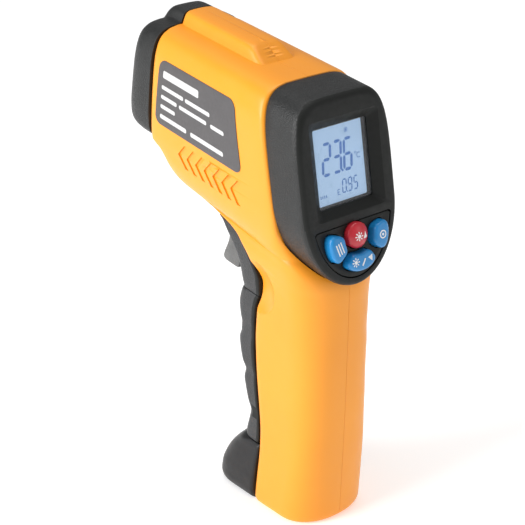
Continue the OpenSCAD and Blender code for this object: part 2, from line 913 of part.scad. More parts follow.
// Side profile of the trigger
trigger_side = [
    [15.4, 21.6], [13.9, 18], [12.5, 13.5], [11.9, 9.5], [12, 6], [12.7, 3], [13.9, 0],
    [14.2, -1.2], [13.9, -1.9], [13.1, -2.2], [4.7, -2.2], [3.5, -1.2], [2.3, 4], [0.9, 9], [0.2, 15],
    [0, 21], [0, 26.5], [1.2, 29.3], [4, 30.5], [6.8, 29.3], [8, 26.5], [9.4, 23.6]
];

module trigger() {
    color("#3a3b3d")
        place()
            difference() {
                intersection() {
                    translate([-trigger_w, 0, 0])
                        rotate([90, 0, 90])
                            linear_extrude(height = 2 * trigger_w)
                                polygon(trigger_side);
                    // Rounded front edge
                    translate([0, 0, -5])
                        linear_extrude(height = 45)
                            polygon([
                                for (i = [0:31])
                                    let (a = 360 * i / 32, k = cos(a) > 0 ? 0.6 : 0.1)
                                    [trigger_w * spow(sin(a), k), 4 + 11.6 * spow(cos(a), k)]
                            ]);
                }
                rod_x(pin_d + 0.1, -10, 10, pivot_y, pivot_z);
                // Spring pocket in the rear
                rod_y(5.4, -1, spring_front + 0.1, spring_z);
            }
}

module trigger_pin() {
    color("silver")
        place()
            rod_x(pin_d, -12, 12, pivot_y, pivot_z);
}

// Coils of the trigger spring, shown as closed rings
module trigger_spring() {
    color("silver")
        place()
            for (i = [0:spring_coils - 1])
                translate([0, spring_front - 0.3 - i * spring_pitch, spring_z])
                    rotate([90, 0, 0])
                        rotate_extrude($fn = 32)
                            translate([1.9, 0])
                                circle(d = 0.6, $fn = 16);
}

module trigger_switch() {
    color("black")
        place() {
            block([-3.2, -9.6, 14], [3.2, -5.8, 20.4]);
            rod_y(2.2, -5.9, -1.5, switch_z);
        }
}

module trigger_surround() {
    color("#3a3b3d")
        place()
            difference() {
                full_loft(surround_rows);
                // Slot for the trigger blade
                block([-trigger_w - seam, slot_rear, 3], [trigger_w + seam, 20, 21]);
                // Room behind the slot
                block([-11.8, -18, 1.2], [11.8, slot_rear - web, 21]);
                // Seat of the spring
                rod_y(5, slot_rear - spring_seat, slot_rear + 1, spring_z);
                // Passage for the switch lever
                rod_y(3, -7, -4, switch_z);
            }
}

// Hinge lugs of the foot: left edges and width
lug_w = 2;
lug_x = [-10.2, 8.2];

module battery_door() {
    color("#3a3b3d")
        place()
            difference() {
                full_loft(door_rows);
                full_loft(door_cavity_rows);
                // Hinge bore and the slots for the lugs of the foot
                rod_x(hinge_d + 0.1, -11.6, 11.6, hinge_y, hinge_z);
                for (x = lug_x)
                    block([x - 0.3, -30, -65], [x + lug_w + 0.3, hinge_y + 1.8, hinge_z + 1.8]);
            }
}

module door_pin() {
    color("silver")
        place()
            rod_x(hinge_d, -11.4, 11.4, hinge_y, hinge_z);
}

module door_latch() {
    color("#2b2c2b")
        place()
            difference() {
                block([-4, -14, -6.8], [4, -8, -4.7]);
                block([-2.6, -12.8, -7], [2.6, -9.4, -4]);
            }
}

module foot() {
    color("#303132")
        place()
            difference() {
                union() {
                    full_loft(foot_rows);
                    for (x = lug_x) {
                        rod_x(3, x, x + lug_w, hinge_y, hinge_z);
                        block([x, -22.2, hinge_z - 1.2], [x + lug_w, hinge_y, hinge_z + 1.1]);
                        block([x, -22.2, -60], [x + lug_w, -18.5, hinge_z]);
                    }
                }
                block([-10.5, -30, -73], [10.5, -9.5, -60.4]);
                rod_x(hinge_d + 0.06, -12, 12, hinge_y, hinge_z);
            }
}

module battery_tray() {
    color("black")
        place()
            on_cells()
                difference() {
                    block([-11.7, -7.6, -27.4], [11.7, 0.6, 27.4]);
                    block([-10.9, -5.45, -25.8], [10.9, 1, 25.8]);
                }
}

module cell(x) {
    place()
        on_cells()
            translate([x, 0, -cell_l / 2]) {
                cylinder(d = cell_d, h = cell_l - 1, $fn = 64);
                cylinder(d = 3.8, h = cell_l, $fn = 32);
            }
}

module cell_left() {
    color("silver")
        cell(-5.4);
}

module cell_right() {
    color("silver")
        place()
            on_cells()
                translate([5.4, 0, cell_l / 2])
                    rotate([180, 0, 0]) {
                        cylinder(d = cell_d, h = cell_l - 1, $fn = 64);
                        cylinder(d = 3.8, h = cell_l, $fn = 32);
                    }
}

module battery_contacts() {
    color("gold")
        place()
            on_cells() {
                for (s = [[-5.4, -1], [5.4, 1]]) {
                    for (i = [0:3])
                        translate([s[0], 0, s[1] * (22.75 + 0.72 * i)])
                            rotate_extrude($fn = 32)
                                translate([2.2 + 0.35 * i, 0])
                                    circle(d = 0.6, $fn = 12);
                    translate([s[0] - 4.4, -4.8, s[1] > 0 ? 25.35 : -25.7])
                        cube([8.8, 9.4 - 4.5, 0.35]);
                    translate([-s[0] - 4.4, -4.8, s[1] > 0 ? 22.6 : -22.95])
                        cube([8.8, 9.4 - 4.5, 0.35]);
                }
            }
}

module housing_screws() {
    color("silver")
        place()
            for (s = screw_places) {
                rod_x(2.2, -8.5, 9.1, s[0], s[1]);
                difference() {
                    rod_x(4.6, 9.05, 11, s[0], s[1]);
                    block([10, s[0] - 1.5, s[1] - 0.3], [12, s[0] + 1.5, s[1] + 0.3]);
                    block([10, s[0] - 0.3, s[1] - 1.5], [12, s[0] + 0.3, s[1] + 1.5]);
                }
            }
}

// Label patch that follows the side of the barrel
label_nu = 12;
label_nv = 6;
label_front = [37.2, 36.4];
label_rear = [-8.4, -1.6];
label_low = 41.3;
label_high = 63.4;
label_base = 0.2;
function label_point(i, j, lift_x) =
    let (
        s = i / label_nu,
        t = j / label_nv,
        f = label_front[0] + (label_front[1] - label_front[0]) * t,
        r = label_rear[0] + (label_rear[1] - label_rear[0]) * t,
        y = f + (r - f) * s,
        z = label_low + (label_high - label_low) * t
    )
    [side_x(y, z) + lift_x, y, z];

module label_patch() {
    m = label_nv + 1;
    k = (label_nu + 1) * m;
    pts = concat(
        [for (i = [0:label_nu]) for (j = [0:label_nv]) label_point(i, j, label_base)],
        [for (i = [0:label_nu]) for (j = [0:label_nv]) label_point(i, j, label_base + 0.26)]
    );
    quads = [for (i = [0:label_nu - 1]) for (j = [0:label_nv - 1]) i * m + j];
    faces = concat(
        [for (q = quads) [q, q + 1, q + m + 1]],
        [for (q = quads) [q, q + m + 1, q + m]],
        [for (q = quads) [k + q, k + q + m + 1, k + q + 1]],
        [for (q = quads) [k + q, k + q + m, k + q + m + 1]],
        [for (i = [0:label_nu - 1]) [i * m, (i + 1) * m, k + (i + 1) * m]],
        [for (i = [0:label_nu - 1]) [i * m, k + (i + 1) * m, k + i * m]],
        [for (i = [0:label_nu - 1]) [i * m + label_nv, k + (i + 1) * m + label_nv, (i + 1) * m + label_nv]],
        [for (i = [0:label_nu - 1]) [i * m + label_nv, k + i * m + label_nv, k + (i + 1) * m + label_nv]],
        [for (j = [0:label_nv - 1]) [j, k + j + 1, j + 1]],
        [for (j = [0:label_nv - 1]) [j, k + j, k + j + 1]],
        [for (j = [0:label_nv - 1]) [label_nu * m + j, label_nu * m + j + 1, k + label_nu * m + j + 1]],
        [for (j = [0:label_nv - 1]) [label_nu * m + j, k + label_nu * m + j + 1, k + label_nu * m + j]]
    );
    polyhedron(points = pts, faces = faces, convexity = 4);
}

module right_label() {
    color("#48474a")
        place()
            label_patch();
}

module left_label() {
    color("#48474a")
        place()
            mirror([1, 0, 0])
                label_patch();
}

left_housing();
right_housing();
nose_cap();
lens_tube();
ir_lens();
lens_ring();
thermopile();
sensor_board();
sensor_holder();
laser_module();
laser_window();
laser_clamp();
display_bezel();
lcd_window();
lcd_panel();
backlight();
zebra_strip();
keypad_panel();
button_laser();
button_unit();
button_select();
button_emit();
contact_sheet();
main_pcb();
buzzer();
trigger();
trigger_pin();
trigger_spring();
trigger_switch();
trigger_surround();
battery_door();
door_pin();
door_latch();
foot();
battery_tray();
cell_left();
cell_right();
battery_contacts();
housing_screws();
left_label();
right_label();
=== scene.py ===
"""Looks of the pistol infrared thermometer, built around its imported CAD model."""

import json
import math

import bmesh
import bpy
import numpy as np
from mathutils import Matrix, Vector
from mathutils.bvhtree import BVHTree


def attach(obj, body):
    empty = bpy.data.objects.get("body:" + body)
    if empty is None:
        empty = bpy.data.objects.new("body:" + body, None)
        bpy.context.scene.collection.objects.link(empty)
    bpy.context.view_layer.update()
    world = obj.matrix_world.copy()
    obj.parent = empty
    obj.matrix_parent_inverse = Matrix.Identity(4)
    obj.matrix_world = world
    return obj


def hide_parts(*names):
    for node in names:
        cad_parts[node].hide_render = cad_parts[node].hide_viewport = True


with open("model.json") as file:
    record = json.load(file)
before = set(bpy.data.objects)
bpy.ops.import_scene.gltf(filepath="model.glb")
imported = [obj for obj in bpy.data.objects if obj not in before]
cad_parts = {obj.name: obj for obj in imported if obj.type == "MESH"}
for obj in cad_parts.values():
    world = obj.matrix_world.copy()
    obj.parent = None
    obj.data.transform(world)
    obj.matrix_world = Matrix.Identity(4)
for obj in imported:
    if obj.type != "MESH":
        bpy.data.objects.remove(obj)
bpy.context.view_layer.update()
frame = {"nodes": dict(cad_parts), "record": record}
nodes = frame["nodes"]

# ---------------------------------------------------------------- frames
# Shapes are drawn in millimetres in the barrel's own frame, where the barrel is level. PLACE tips it up
# and sets the handle's base on the ground. FACE is the plane of the display, with its Z pointing out.
MM = 0.001
RISE = math.radians(7.0)
STAND_Y, STAND_Z = -1.6, 79.98
STAND = Matrix.Translation((0, STAND_Y * MM, STAND_Z * MM)) @ Matrix.Rotation(RISE, 4, "X")
PLACE = STAND @ Matrix.Scale(MM, 4)
TILT = math.radians(17.1)
FACE_Y, FACE_Z = -36.2, 42
FACE = PLACE @ Matrix.Translation((0, FACE_Y, FACE_Z)) @ Matrix.Rotation(math.pi / 2 - TILT, 4, "X")
FACE_OUT = (FACE.to_3x3() @ Vector((0, 0, 1))).normalized()
LEAN = math.tan(TILT)
HOOD_DEPTH = 14.2
# The base is level on the ground, so it slopes in the barrel's frame; the slope grows from SLOPE_TOP down
BASE_SLOPE = -math.tan(RISE)
SLOPE_TOP, SLOPE_SPAN, HEEL_Y = -40, 34.5, -49.5
# Each housing half ends this far from the middle plane
GAP = 0.05


def spow(v, p):
    """Power that keeps the sign, for superellipses."""
    return math.copysign(abs(v) ** p, v)


def sec_z(z, y):
    """Height of a section's point: the lowest sections lie along the sloping base."""
    share = min(max((SLOPE_TOP - z) / SLOPE_SPAN, 0), 1)
    return z + BASE_SLOPE * share * (y - HEEL_Y)


def hood_y(z):
    """Where the hood's rear seat lies at a height."""
    return FACE_Y + HOOD_DEPTH / math.cos(TILT) + (z - FACE_Z) * LEAN


def pchip(xs, ys, at):
    """Smooth curve through the stations that never overshoots them."""
    xs, ys = np.array(xs, float), np.array(ys, float)
    h, d = np.diff(xs), np.diff(ys) / np.diff(xs)
    m = np.zeros(len(xs))
    for i in range(1, len(xs) - 1):
        if d[i - 1] * d[i] > 0:
            w1, w2 = 2 * h[i] + h[i - 1], h[i] + 2 * h[i - 1]
            m[i] = (w1 + w2) / (w1 / d[i - 1] + w2 / d[i])
    m[0], m[-1] = d[0], d[-1]
    at = np.clip(np.atleast_1d(at), xs[0], xs[-1])
    k = np.clip(np.searchsorted(xs, at, side="right") - 1, 0, len(xs) - 2)
    t = (at - xs[k]) / h[k]
    return ((1 + 2 * t) * (1 - t) ** 2 * ys[k] + t * (1 - t) ** 2 * h[k] * m[k]
            + t * t * (3 - 2 * t) * ys[k + 1] + t * t * (t - 1) * h[k] * m[k + 1])


def dense(rows, step=1.2):
    """The stations of a loft with smooth ones put in between."""
    rows = sorted(rows)
    zs = []
    for a, b in zip(rows, rows[1:]):
        n = max(1, math.ceil((b[0] - a[0]) / step))
        zs += [a[0] + (b[0] - a[0]) * i / n for i in range(n)]
    zs.append(rows[-1][0])
    cols = [pchip([r[0] for r in rows], [r[j] for r in rows], zs) for j in range(1, len(rows[0]))]
    return [[z] + [float(c[i]) for c in cols] for i, z in enumerate(zs)]


def middle(front, rear, z, shell):
    """Where a section is rounded from; the shell's moves forward gradually under the barrel."""
    mid = front * 0.45 + rear * 0.55
    return min(mid, 2.5 * z - 65.7) if shell and z > 18 else mid


def sec_point(row, a, shell=False):
    """Point of a station's section at an angle from the front."""
    front, rear = row[1], row[2]
    mid = middle(front, rear, row[0], shell)
    c, s = math.cos(a), math.sin(a)
    p = row[5] if c > 0 else row[6]
    y = mid + (front - mid) * spow(c, p) if c > 0 else mid + (mid - rear) * spow(c, p)
    w = row[3] + (row[4] - row[3]) * (y - rear) / (front - rear)
    return [w * spow(s, p), y, sec_z(row[0], y)]


# ---------------------------------------------------------------- stations
# Height, front, rear, half width at the rear and at the front, exponents of the front and the rear
HOUSING = [
    [-74.5, -24.6, -47.6, 14.4, 14.6, 0.2, 0.92], [-73.8, -23.6, -48.8, 15.4, 15.6, 0.15, 0.9],
    [-72.4, -23.4, -49.3, 15.8, 16.0, 0.12, 0.9], [-66, -23.1, -48.8, 15.6, 15.8, 0.12, 0.86],
    [-58, -22.9, -48.1, 15.4, 15.5, 0.12, 0.82], [-49, -21.9, -47.3, 15.1, 15.1, 0.12, 0.77],
    [-40, -19.6, -46.4, 14.8, 14.8, 0.12, 0.74], [-30, -17.0, -45.4, 14.6, 14.6, 0.12, 0.72],
    [-22, -15.4, -44.5, 14.5, 14.5, 0.12, 0.72], [-14, -14.4, -43.6, 14.6, 14.6, 0.12, 0.72],
    [-7, -14.3, -42.8, 14.7, 14.8, 0.12, 0.78], [0, -15.2, -42.0, 15.0, 15.1, 0.12, 0.82],
    [5, -15.0, -41.4, 15.4, 15.5, 0.12, 0.86], [9, -12.5, -40.9, 16.1, 16.0, 0.12, 0.84],
    [12.5, -9.5, -40.0, 17.0, 16.4, 0.12, 0.7], [15.5, -6.3, -38.6, 17.7, 16.6, 0.12, 0.62],
    [18, -1.5, -36.4, 18.3, 15.8, 0.12, 0.52], [19.9, 15.0, -34.0, 18.7, 13.6, 0.15, 0.44],
    [20.1, 31.6, -33.7, 18.7, 11.4, 0.15, 0.44], [21.4, 32.4, -32.0, 18.9, 13.2, 0.15, 0.38],
    [23.6, 33.3, -29.2, 19.2, 14.9, 0.14, 0.28], [26, 34.4, hood_y(26) - 0.6, 19.5, 16.1, 0.13, 0.16],
    [29, 35.9, hood_y(29), 19.7, 17.1, 0.12, 0.08], [31.6, 38.1, hood_y(31.6), 19.85, 17.6, 0.1, 0.08],
    [33.5, 41.0, hood_y(33.5), 19.95, 18.0, 0.08, 0.08], [36, 41.0, hood_y(36), 20.0, 18.5, 0.08, 0.08],
    [42, 41.0, hood_y(42), 20.2, 18.9, 0.08, 0.08],
    [50, 41.0, hood_y(50), 20.2, 19.0, 0.08, 0.08], [57, 41.0, hood_y(57), 20.0, 18.9, 0.08, 0.08],
    [62, 41.0, hood_y(62), 19.5, 18.6, 0.08, 0.08], [65.5, 41.0, hood_y(65.5), 18.6, 17.9, 0.08, 0.08],
    [68, 41.0, hood_y(68), 17.3, 16.9, 0.08, 0.08], [69.8, 41.0, hood_y(69.8), 15.4, 15.2, 0.08, 0.08],
    [70.9, 41.0, hood_y(70.9), 12.8, 12.9, 0.08, 0.08], [71.4, 41.0, hood_y(71.4), 9.8, 10.0, 0.08, 0.08],
    [71.47, 41.0, hood_y(71.4), 6, 6, 0.08, 0.08], [71.5, 41.0, hood_y(71.4), 1, 1, 0.08, 0.08]]
RIDGE = [
    [70.6, 41.0, 0.0, 7.8, 7.8, 0.08, 0.2], [71.5, 41.0, 1.2, 7.4, 7.4, 0.08, 0.2],
    [73, 41.0, 3.8, 6.9, 6.9, 0.08, 0.2], [74.6, 41.0, 6.6, 6.1, 6.1, 0.08, 0.2],
    [75.4, 41.0, 8.4, 4.7, 4.7, 0.08, 0.25], [75.55, 41.0, 9.4, 2.9, 2.9, 0.08, 0.3],
    [75.6, 41.0, 10.6, 1.0, 1.0, 0.08, 0.3]]
# Room inside the shells, kept clear of the thumb scoops
CAVITY = [
    [-71.6, -20, -46.6, 13.4, 13.4, 0.2, 0.84], [-60, -20, -45.9, 13.2, 13.2, 0.12, 0.8],
    [-49, -19, -44.9, 12.8, 12.8, 0.12, 0.77], [-40, -17, -44.0, 12.5, 12.5, 0.12, 0.74],
    [-22, -12.5, -42.1, 12.3, 12.3, 0.12, 0.72], [-7, -11.5, -40.4, 11.8, 11.8, 0.12, 0.74],
    [2, -12.0, -39.4, 10.6, 10.6, 0.12, 0.76], [9, -9.5, -38.4, 12.6, 12.6, 0.12, 0.76],
    [15.5, -2.0, -35.9, 15.4, 13.8, 0.12, 0.62], [18, 6.0, -33.6, 16.0, 12.0, 0.12, 0.5],
    [20.4, 8.0, -31.0, 16.4, 11.0, 0.12, 0.44], [22.5, 9.0, -28.4, 16.8, 11.4, 0.12, 0.3],
    [22.9, 30.8, hood_y(22.9) - 1, 16.8, 11.4, 0.14, 0.3],
    [26, 31.6, hood_y(26) - 2, 17.2, 13.6, 0.13, 0.16],
    [31.6, 35.2, hood_y(31.6) - 2, 17.7, 15.4, 0.1, 0.08],
    [36, 43.0, hood_y(36) - 2, 17.9, 16.3, 0.08, 0.08],
    [42, 43.0, hood_y(42) - 2, 18.0, 16.7, 0.08, 0.08],
    [50, 43.0, hood_y(50) - 2, 18.0, 16.8, 0.08, 0.08], [57, 43.0, hood_y(57) - 2, 17.8, 16.7, 0.08, 0.08],
    [62, 43.0, hood_y(62) - 2, 17.2, 16.0, 0.08, 0.08],
    [65.5, 43.0, hood_y(65.5) - 2, 16.1, 15.4, 0.08, 0.08],
    [67.6, 43.0, hood_y(67.6) - 2, 14.4, 13.2, 0.08, 0.08],
    [68.8, 43.0, hood_y(68.8) - 2, 11.2, 10.4, 0.08, 0.08]]
DOOR = [
    [-1.5, -4.2, -14.5, 13.7, 13.7, 0.62, 0.1], [-2.3, -3.5, -14.3, 14.0, 14.0, 0.6, 0.1],
    [-7, -2.9, -13.9, 14.3, 14.3, 0.6, 0.1], [-11.5, -3.9, -13.9, 14.2, 14.2, 0.6, 0.1],
    [-14.6, -5.0, -14.1, 14.0, 14.0, 0.6, 0.1], [-17.6, -5.1, -14.4, 14.0, 14.0, 0.6, 0.1],
    [-20.5, -4.4, -14.7, 14.1, 14.1, 0.6, 0.1], [-24, -5.2, -15.3, 14.1, 14.1, 0.6, 0.1],
    [-28, -6.9, -16.2, 14.1, 14.1, 0.6, 0.1], [-31, -9.2, -16.9, 13.9, 13.9, 0.6, 0.1],
    [-34, -8.8, -17.6, 14.1, 14.1, 0.6, 0.1], [-37, -9.9, -18.4, 14.2, 14.2, 0.6, 0.1],
    [-41, -12.0, -19.5, 14.3, 14.3, 0.6, 0.1], [-44.4, -14.4, -20.4, 14.2, 14.2, 0.6, 0.1],
    [-47, -14.0, -21.0, 14.4, 14.4, 0.6, 0.1], [-50, -13.2, -21.6, 14.5, 14.5, 0.6, 0.1],
    [-52.4, -12.7, -21.8, 14.5, 14.5, 0.62, 0.1], [-53.35, -13.0, -21.6, 14.4, 14.4, 0.63, 0.1],
    [-54.1, -13.8, -21.4, 14.1, 14.1, 0.64, 0.1], [-54.4, -14.9, -21.4, 13.7, 13.7, 0.66, 0.1]]
DOOR_CAVITY = [
    [-4.4, -5.6, -17, 12.0, 12.0, 0.55, 0.1], [-11.5, -6.3, -17, 12.1, 12.1, 0.55, 0.1],
    [-17.6, -7.4, -18, 11.9, 11.9, 0.55, 0.1], [-22, -7.4, -19, 11.9, 11.9, 0.55, 0.1],
    [-30.5, -11.4, -21, 11.8, 11.8, 0.55, 0.1], [-37, -12.6, -22, 12.0, 12.0, 0.55, 0.1],
    [-43, -16.4, -24, 12.0, 12.0, 0.55, 0.1], [-47.5, -17.2, -25, 12.2, 12.2, 0.55, 0.1]]
FOOT = [
    [-54.7, -13.3, -22.4, 13.9, 13.9, 0.66, 0.1], [-55.1, -11.6, -22.4, 14.4, 14.4, 0.64, 0.1],
    [-55.8, -10.1, -22.4, 14.7, 14.7, 0.63, 0.1], [-57.6, -8.0, -22.5, 15.0, 15.0, 0.62, 0.1],
    [-61, -5.0, -22.6, 15.6, 15.6, 0.6, 0.1], [-64.5, -2.9, -22.7, 16.0, 16.0, 0.6, 0.1],
    [-68, -1.6, -22.9, 16.3, 16.3, 0.6, 0.1], [-71, -1.3, -23.0, 16.3, 16.3, 0.6, 0.1],
    [-73, -2.0, -23.1, 15.9, 15.9, 0.6, 0.1], [-74.1, -3.4, -23.2, 15.0, 15.0, 0.62, 0.1],
    [-74.5, -4.8, -24.0, 14.0, 14.0, 0.64, 0.1]]
# The trigger's surround, shorter at its upper front than the CAD solid
SURROUND = [
    [-1.1, -4.0, -14.7, 13.8, 13.8, 0.6, 0.1], [1.5, -3.2, -14.9, 14.3, 14.3, 0.58, 0.1],
    [5, -2.2, -14.6, 14.6, 14.6, 0.56, 0.1], [9, -0.4, -12.1, 14.8, 14.8, 0.54, 0.1],
    [12.5, 2.2, -9.1, 14.9, 14.9, 0.5, 0.1], [15.5, 4.8, -5.9, 14.9, 14.9, 0.46, 0.1],
    [17.6, 7.2, -1.6, 14.4, 14.4, 0.44, 0.1], [18.2, 7.9, 0.9, 14.2, 14.2, 0.44, 0.1],
    [18.7, 8.6, 4.4, 14.0, 14.0, 0.43, 0.1]]
TRIGGER = [
    [-2.2, 12.9, 4.8, 6.4, 6.4, 0.6, 0.16], [-1.9, 13.7, 4.2, 6.9, 6.9, 0.6, 0.14],
    [-1.2, 14.1, 3.6, 7.2, 7.2, 0.6, 0.12], [0, 13.9, 3.3, 7.2, 7.2, 0.6, 0.12],
    [3, 12.8, 2.5, 7.2, 7.2, 0.6, 0.12], [6, 12.0, 1.8, 7.2, 7.2, 0.6, 0.12],
    [9.5, 11.9, 0.9, 7.2, 7.2, 0.6, 0.12], [13.5, 12.5, 0.4, 7.2, 7.2, 0.6, 0.12],
    [18, 13.9, 0.1, 7.2, 7.2, 0.6, 0.12],
    [21.6, 15.3, 0.02, 7.2, 7.2, 0.6, 0.12], [23.6, 9.4, 0.02, 7.2, 7.2, 0.4, 0.12],
    [26.5, 8.0, 0.02, 7.2, 7.2, 0.3, 0.12], [29.3, 6.8, 1.2, 7.2, 7.2, 0.3, 0.2],
    [30.4, 4.6, 3.4, 7.2, 7.2, 0.3, 0.3]]


# ---------------------------------------------------------------- mesh tools
def mesh_object(name, points, faces, matrix=PLACE):
    me = bpy.data.meshes.new(name)
    me.from_pydata([matrix @ Vector(p) for p in points], [], faces)
    me.validate()
    bm = bmesh.new()
    bm.from_mesh(me)
    bmesh.ops.remove_doubles(bm, verts=bm.verts, dist=1e-7)
    bmesh.ops.recalc_face_normals(bm, faces=bm.faces)
    bm.to_mesh(me)
    bm.free()
    ob = bpy.data.objects.new(name, me)
    bpy.context.scene.collection.objects.link(ob)
    return ob


def rings(name, loops, matrix=PLACE):
    """Closed skin over a list of rings with equal numbers of points."""
    n = len(loops[0])
    pts = [p for loop in loops for p in loop]
    faces = []
    for k in range(len(loops) - 1):
        for i in range(n):
            j = (i + 1) % n
            faces.append([k * n + i, k * n + j, (k + 1) * n + j, (k + 1) * n + i])
    faces.append(list(range(n))[::-1])
    faces.append([(len(loops) - 1) * n + i for i in range(n)])
    return mesh_object(name, pts, faces, matrix)


def half_loft(name, rows, side, n=64, gap=GAP, step=1.2):
    """One half of a loft; a negative gap takes a tool across the middle plane and keeps its width."""
    loops = []
    for r in dense(rows, step):
        ring = []
        for i in range(n + 1):
            x, y, z = sec_point(r, math.pi * i / n, True)
            x = gap if i in (0, n) else max(x, 0) + max(gap, 0)
            ring.append([side * x, y, z])
        loops.append(ring)
    return rings(name, loops)


def full_loft(name, rows, n=120, step=0.8):
    loops = [[sec_point(r, 2 * math.pi * (i + 0.5) / n) for i in range(n)] for r in dense(rows, step)]
    return rings(name, loops)


HOOD_MID, HOOD_HALF, HOOD_UP, HOOD_DOWN, HOOD_CORNER = -4, 19.5, 34.7, 25.5, 0.4


def outline(inset, n=144):
    """The hood's outline on the face: squarish above HOOD_MID, a half ellipse below it."""
    pts = []
    for i in range(n):
        a = 2 * math.pi * i / n
        c, s = math.cos(a), math.sin(a)
        p, h = (HOOD_CORNER, HOOD_UP) if s > 0 else (1, HOOD_DOWN)
        pts.append([(HOOD_HALF - inset) * spow(c, p), HOOD_MID + (h - inset) * spow(s, p)])
    return pts


def hood_ring(inset, depth, n=144):
    """Hood outline at a depth behind the face: the hood runs along the barrel, not square to the face."""
    return [[x, v + LEAN * depth, -depth] for x, v in outline(inset, n)]


def block(name, a, b):
    (x0, y0, z0), (x1, y1, z1) = a, b
    lo = [[x0, y0, z0], [x1, y0, z0], [x1, y1, z0], [x0, y1, z0]]
    hi = [[x0, y0, z1], [x1, y0, z1], [x1, y1, z1], [x0, y1, z1]]
    return rings(name, [lo, hi])


def rod(name, axis, r, t0, t1, u, v, n=48):
    """Round bar along X (u, v = y, z) or Y (u, v = x, z)."""
    def pt(t, a):
        p, q = u + r * math.cos(a), v + r * math.sin(a)
        return [t, p, q] if axis == "x" else [p, t, q]
    return rings(name, [[pt(t, 2 * math.pi * i / n) for i in range(n)] for t in (t0, t1)])


def apply_modifiers(ob):
    dg = bpy.context.evaluated_depsgraph_get()
    me = bpy.data.meshes.new_from_object(ob.evaluated_get(dg))
    old = ob.data
    ob.modifiers.clear()
    ob.data = me
    bpy.data.meshes.remove(old)


def carve(ob, tools, how="DIFFERENCE"):
    for t in tools:
        m = ob.modifiers.new("cut", "BOOLEAN")
        m.operation = how
        m.solver = "EXACT"
        m.object = t
        bpy.context.view_layer.update()
        apply_modifiers(ob)
        bpy.data.objects.remove(t)


def soften(ob, width, angle, segments):
    m = ob.modifiers.new("soft edge", "BEVEL")
    m.width = width * MM
    m.segments = segments
    m.limit_method = "ANGLE"
    m.angle_limit = math.radians(angle)
    m.harden_normals = False
    m.use_clamp_overlap = True
    bpy.context.view_layer.update()
    apply_modifiers(ob)


def shade(me, angle):
    """Smooth shading that stays sharp at edges above the angle."""
    bm = bmesh.new()
    bm.from_mesh(me)
    limit = math.radians(angle)
    for f in bm.faces:
        f.smooth = True
    for e in bm.edges:
        e.smooth = len(e.link_faces) == 2 and e.calc_face_angle(0) < limit
    bm.to_mesh(me)
    bm.free()


def finish_piece(ob, slot, body="housing", replaces=(), angle=28):
    shade(ob.data, angle)
    ob.data.materials.clear()
    ob.data.materials.append(MATS[slot])
    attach(ob, body)
    if replaces:
        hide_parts(*replaces)
    return ob


# ---------------------------------------------------------------- materials
COAT_ROUGH = 0.1
GRAIN_HEIGHT = 0.0003
MATS = {}


def material(name, color, rough, rough_spread, grain, grain_strength, tint, tint_scale,
             metallic=0.0, coat=0.0, emit=0.0, alpha=1.0, spec=0.5):
    """Plastic, glass or metal with a faint cloud of tint, uneven gloss and a fine grain."""
    m = bpy.data.materials.new(name)
    m.use_nodes = True
    nt = m.node_tree
    b = nt.nodes["Principled BSDF"]
    coord = nt.nodes.new("ShaderNodeTexCoord")
    cloud = nt.nodes.new("ShaderNodeTexNoise")
    cloud.inputs["Scale"].default_value = tint_scale
    cloud.inputs["Detail"].default_value = 4
    nt.links.new(coord.outputs["Object"], cloud.inputs["Vector"])
    ramp = nt.nodes.new("ShaderNodeValToRGB")
    ramp.color_ramp.elements[0].position = 0.3
    ramp.color_ramp.elements[1].position = 0.7
    ramp.color_ramp.elements[0].color = [c * (1 - tint) for c in color] + [1]
    ramp.color_ramp.elements[1].color = [min(1, c * (1 + tint)) for c in color] + [1]
    nt.links.new(cloud.outputs["Fac"], ramp.inputs["Fac"])
    nt.links.new(ramp.outputs["Color"], b.inputs["Base Color"])
    wear = nt.nodes.new("ShaderNodeTexNoise")
    wear.inputs["Scale"].default_value = tint_scale * 5
    wear.inputs["Detail"].default_value = 6
    nt.links.new(coord.outputs["Object"], wear.inputs["Vector"])
    span = nt.nodes.new("ShaderNodeMapRange")
    span.inputs["From Min"].default_value = 0.3
    span.inputs["From Max"].default_value = 0.7
    span.inputs["To Min"].default_value = max(0.02, rough - rough_spread)
    span.inputs["To Max"].default_value = min(1, rough + rough_spread)
    nt.links.new(wear.outputs["Fac"], span.inputs["Value"])
    nt.links.new(span.outputs["Result"], b.inputs["Roughness"])
    fine = nt.nodes.new("ShaderNodeTexNoise")
    fine.inputs["Scale"].default_value = grain
    fine.inputs["Detail"].default_value = 3
    nt.links.new(coord.outputs["Object"], fine.inputs["Vector"])
    bump = nt.nodes.new("ShaderNodeBump")
    bump.inputs["Strength"].default_value = grain_strength
    bump.inputs["Distance"].default_value = GRAIN_HEIGHT
    nt.links.new(fine.outputs["Fac"], bump.inputs["Height"])
    nt.links.new(bump.outputs["Normal"], b.inputs["Normal"])
    b.inputs["Metallic"].default_value = metallic
    b.inputs["Coat Weight"].default_value = coat
    b.inputs["Coat Roughness"].default_value = COAT_ROUGH
    b.inputs["Specular IOR Level"].default_value = spec
    b.inputs["Alpha"].default_value = alpha
    if emit:
        nt.links.new(ramp.outputs["Color"], b.inputs["Emission Color"])
        b.inputs["Emission Strength"].default_value = emit
    MATS[name] = m


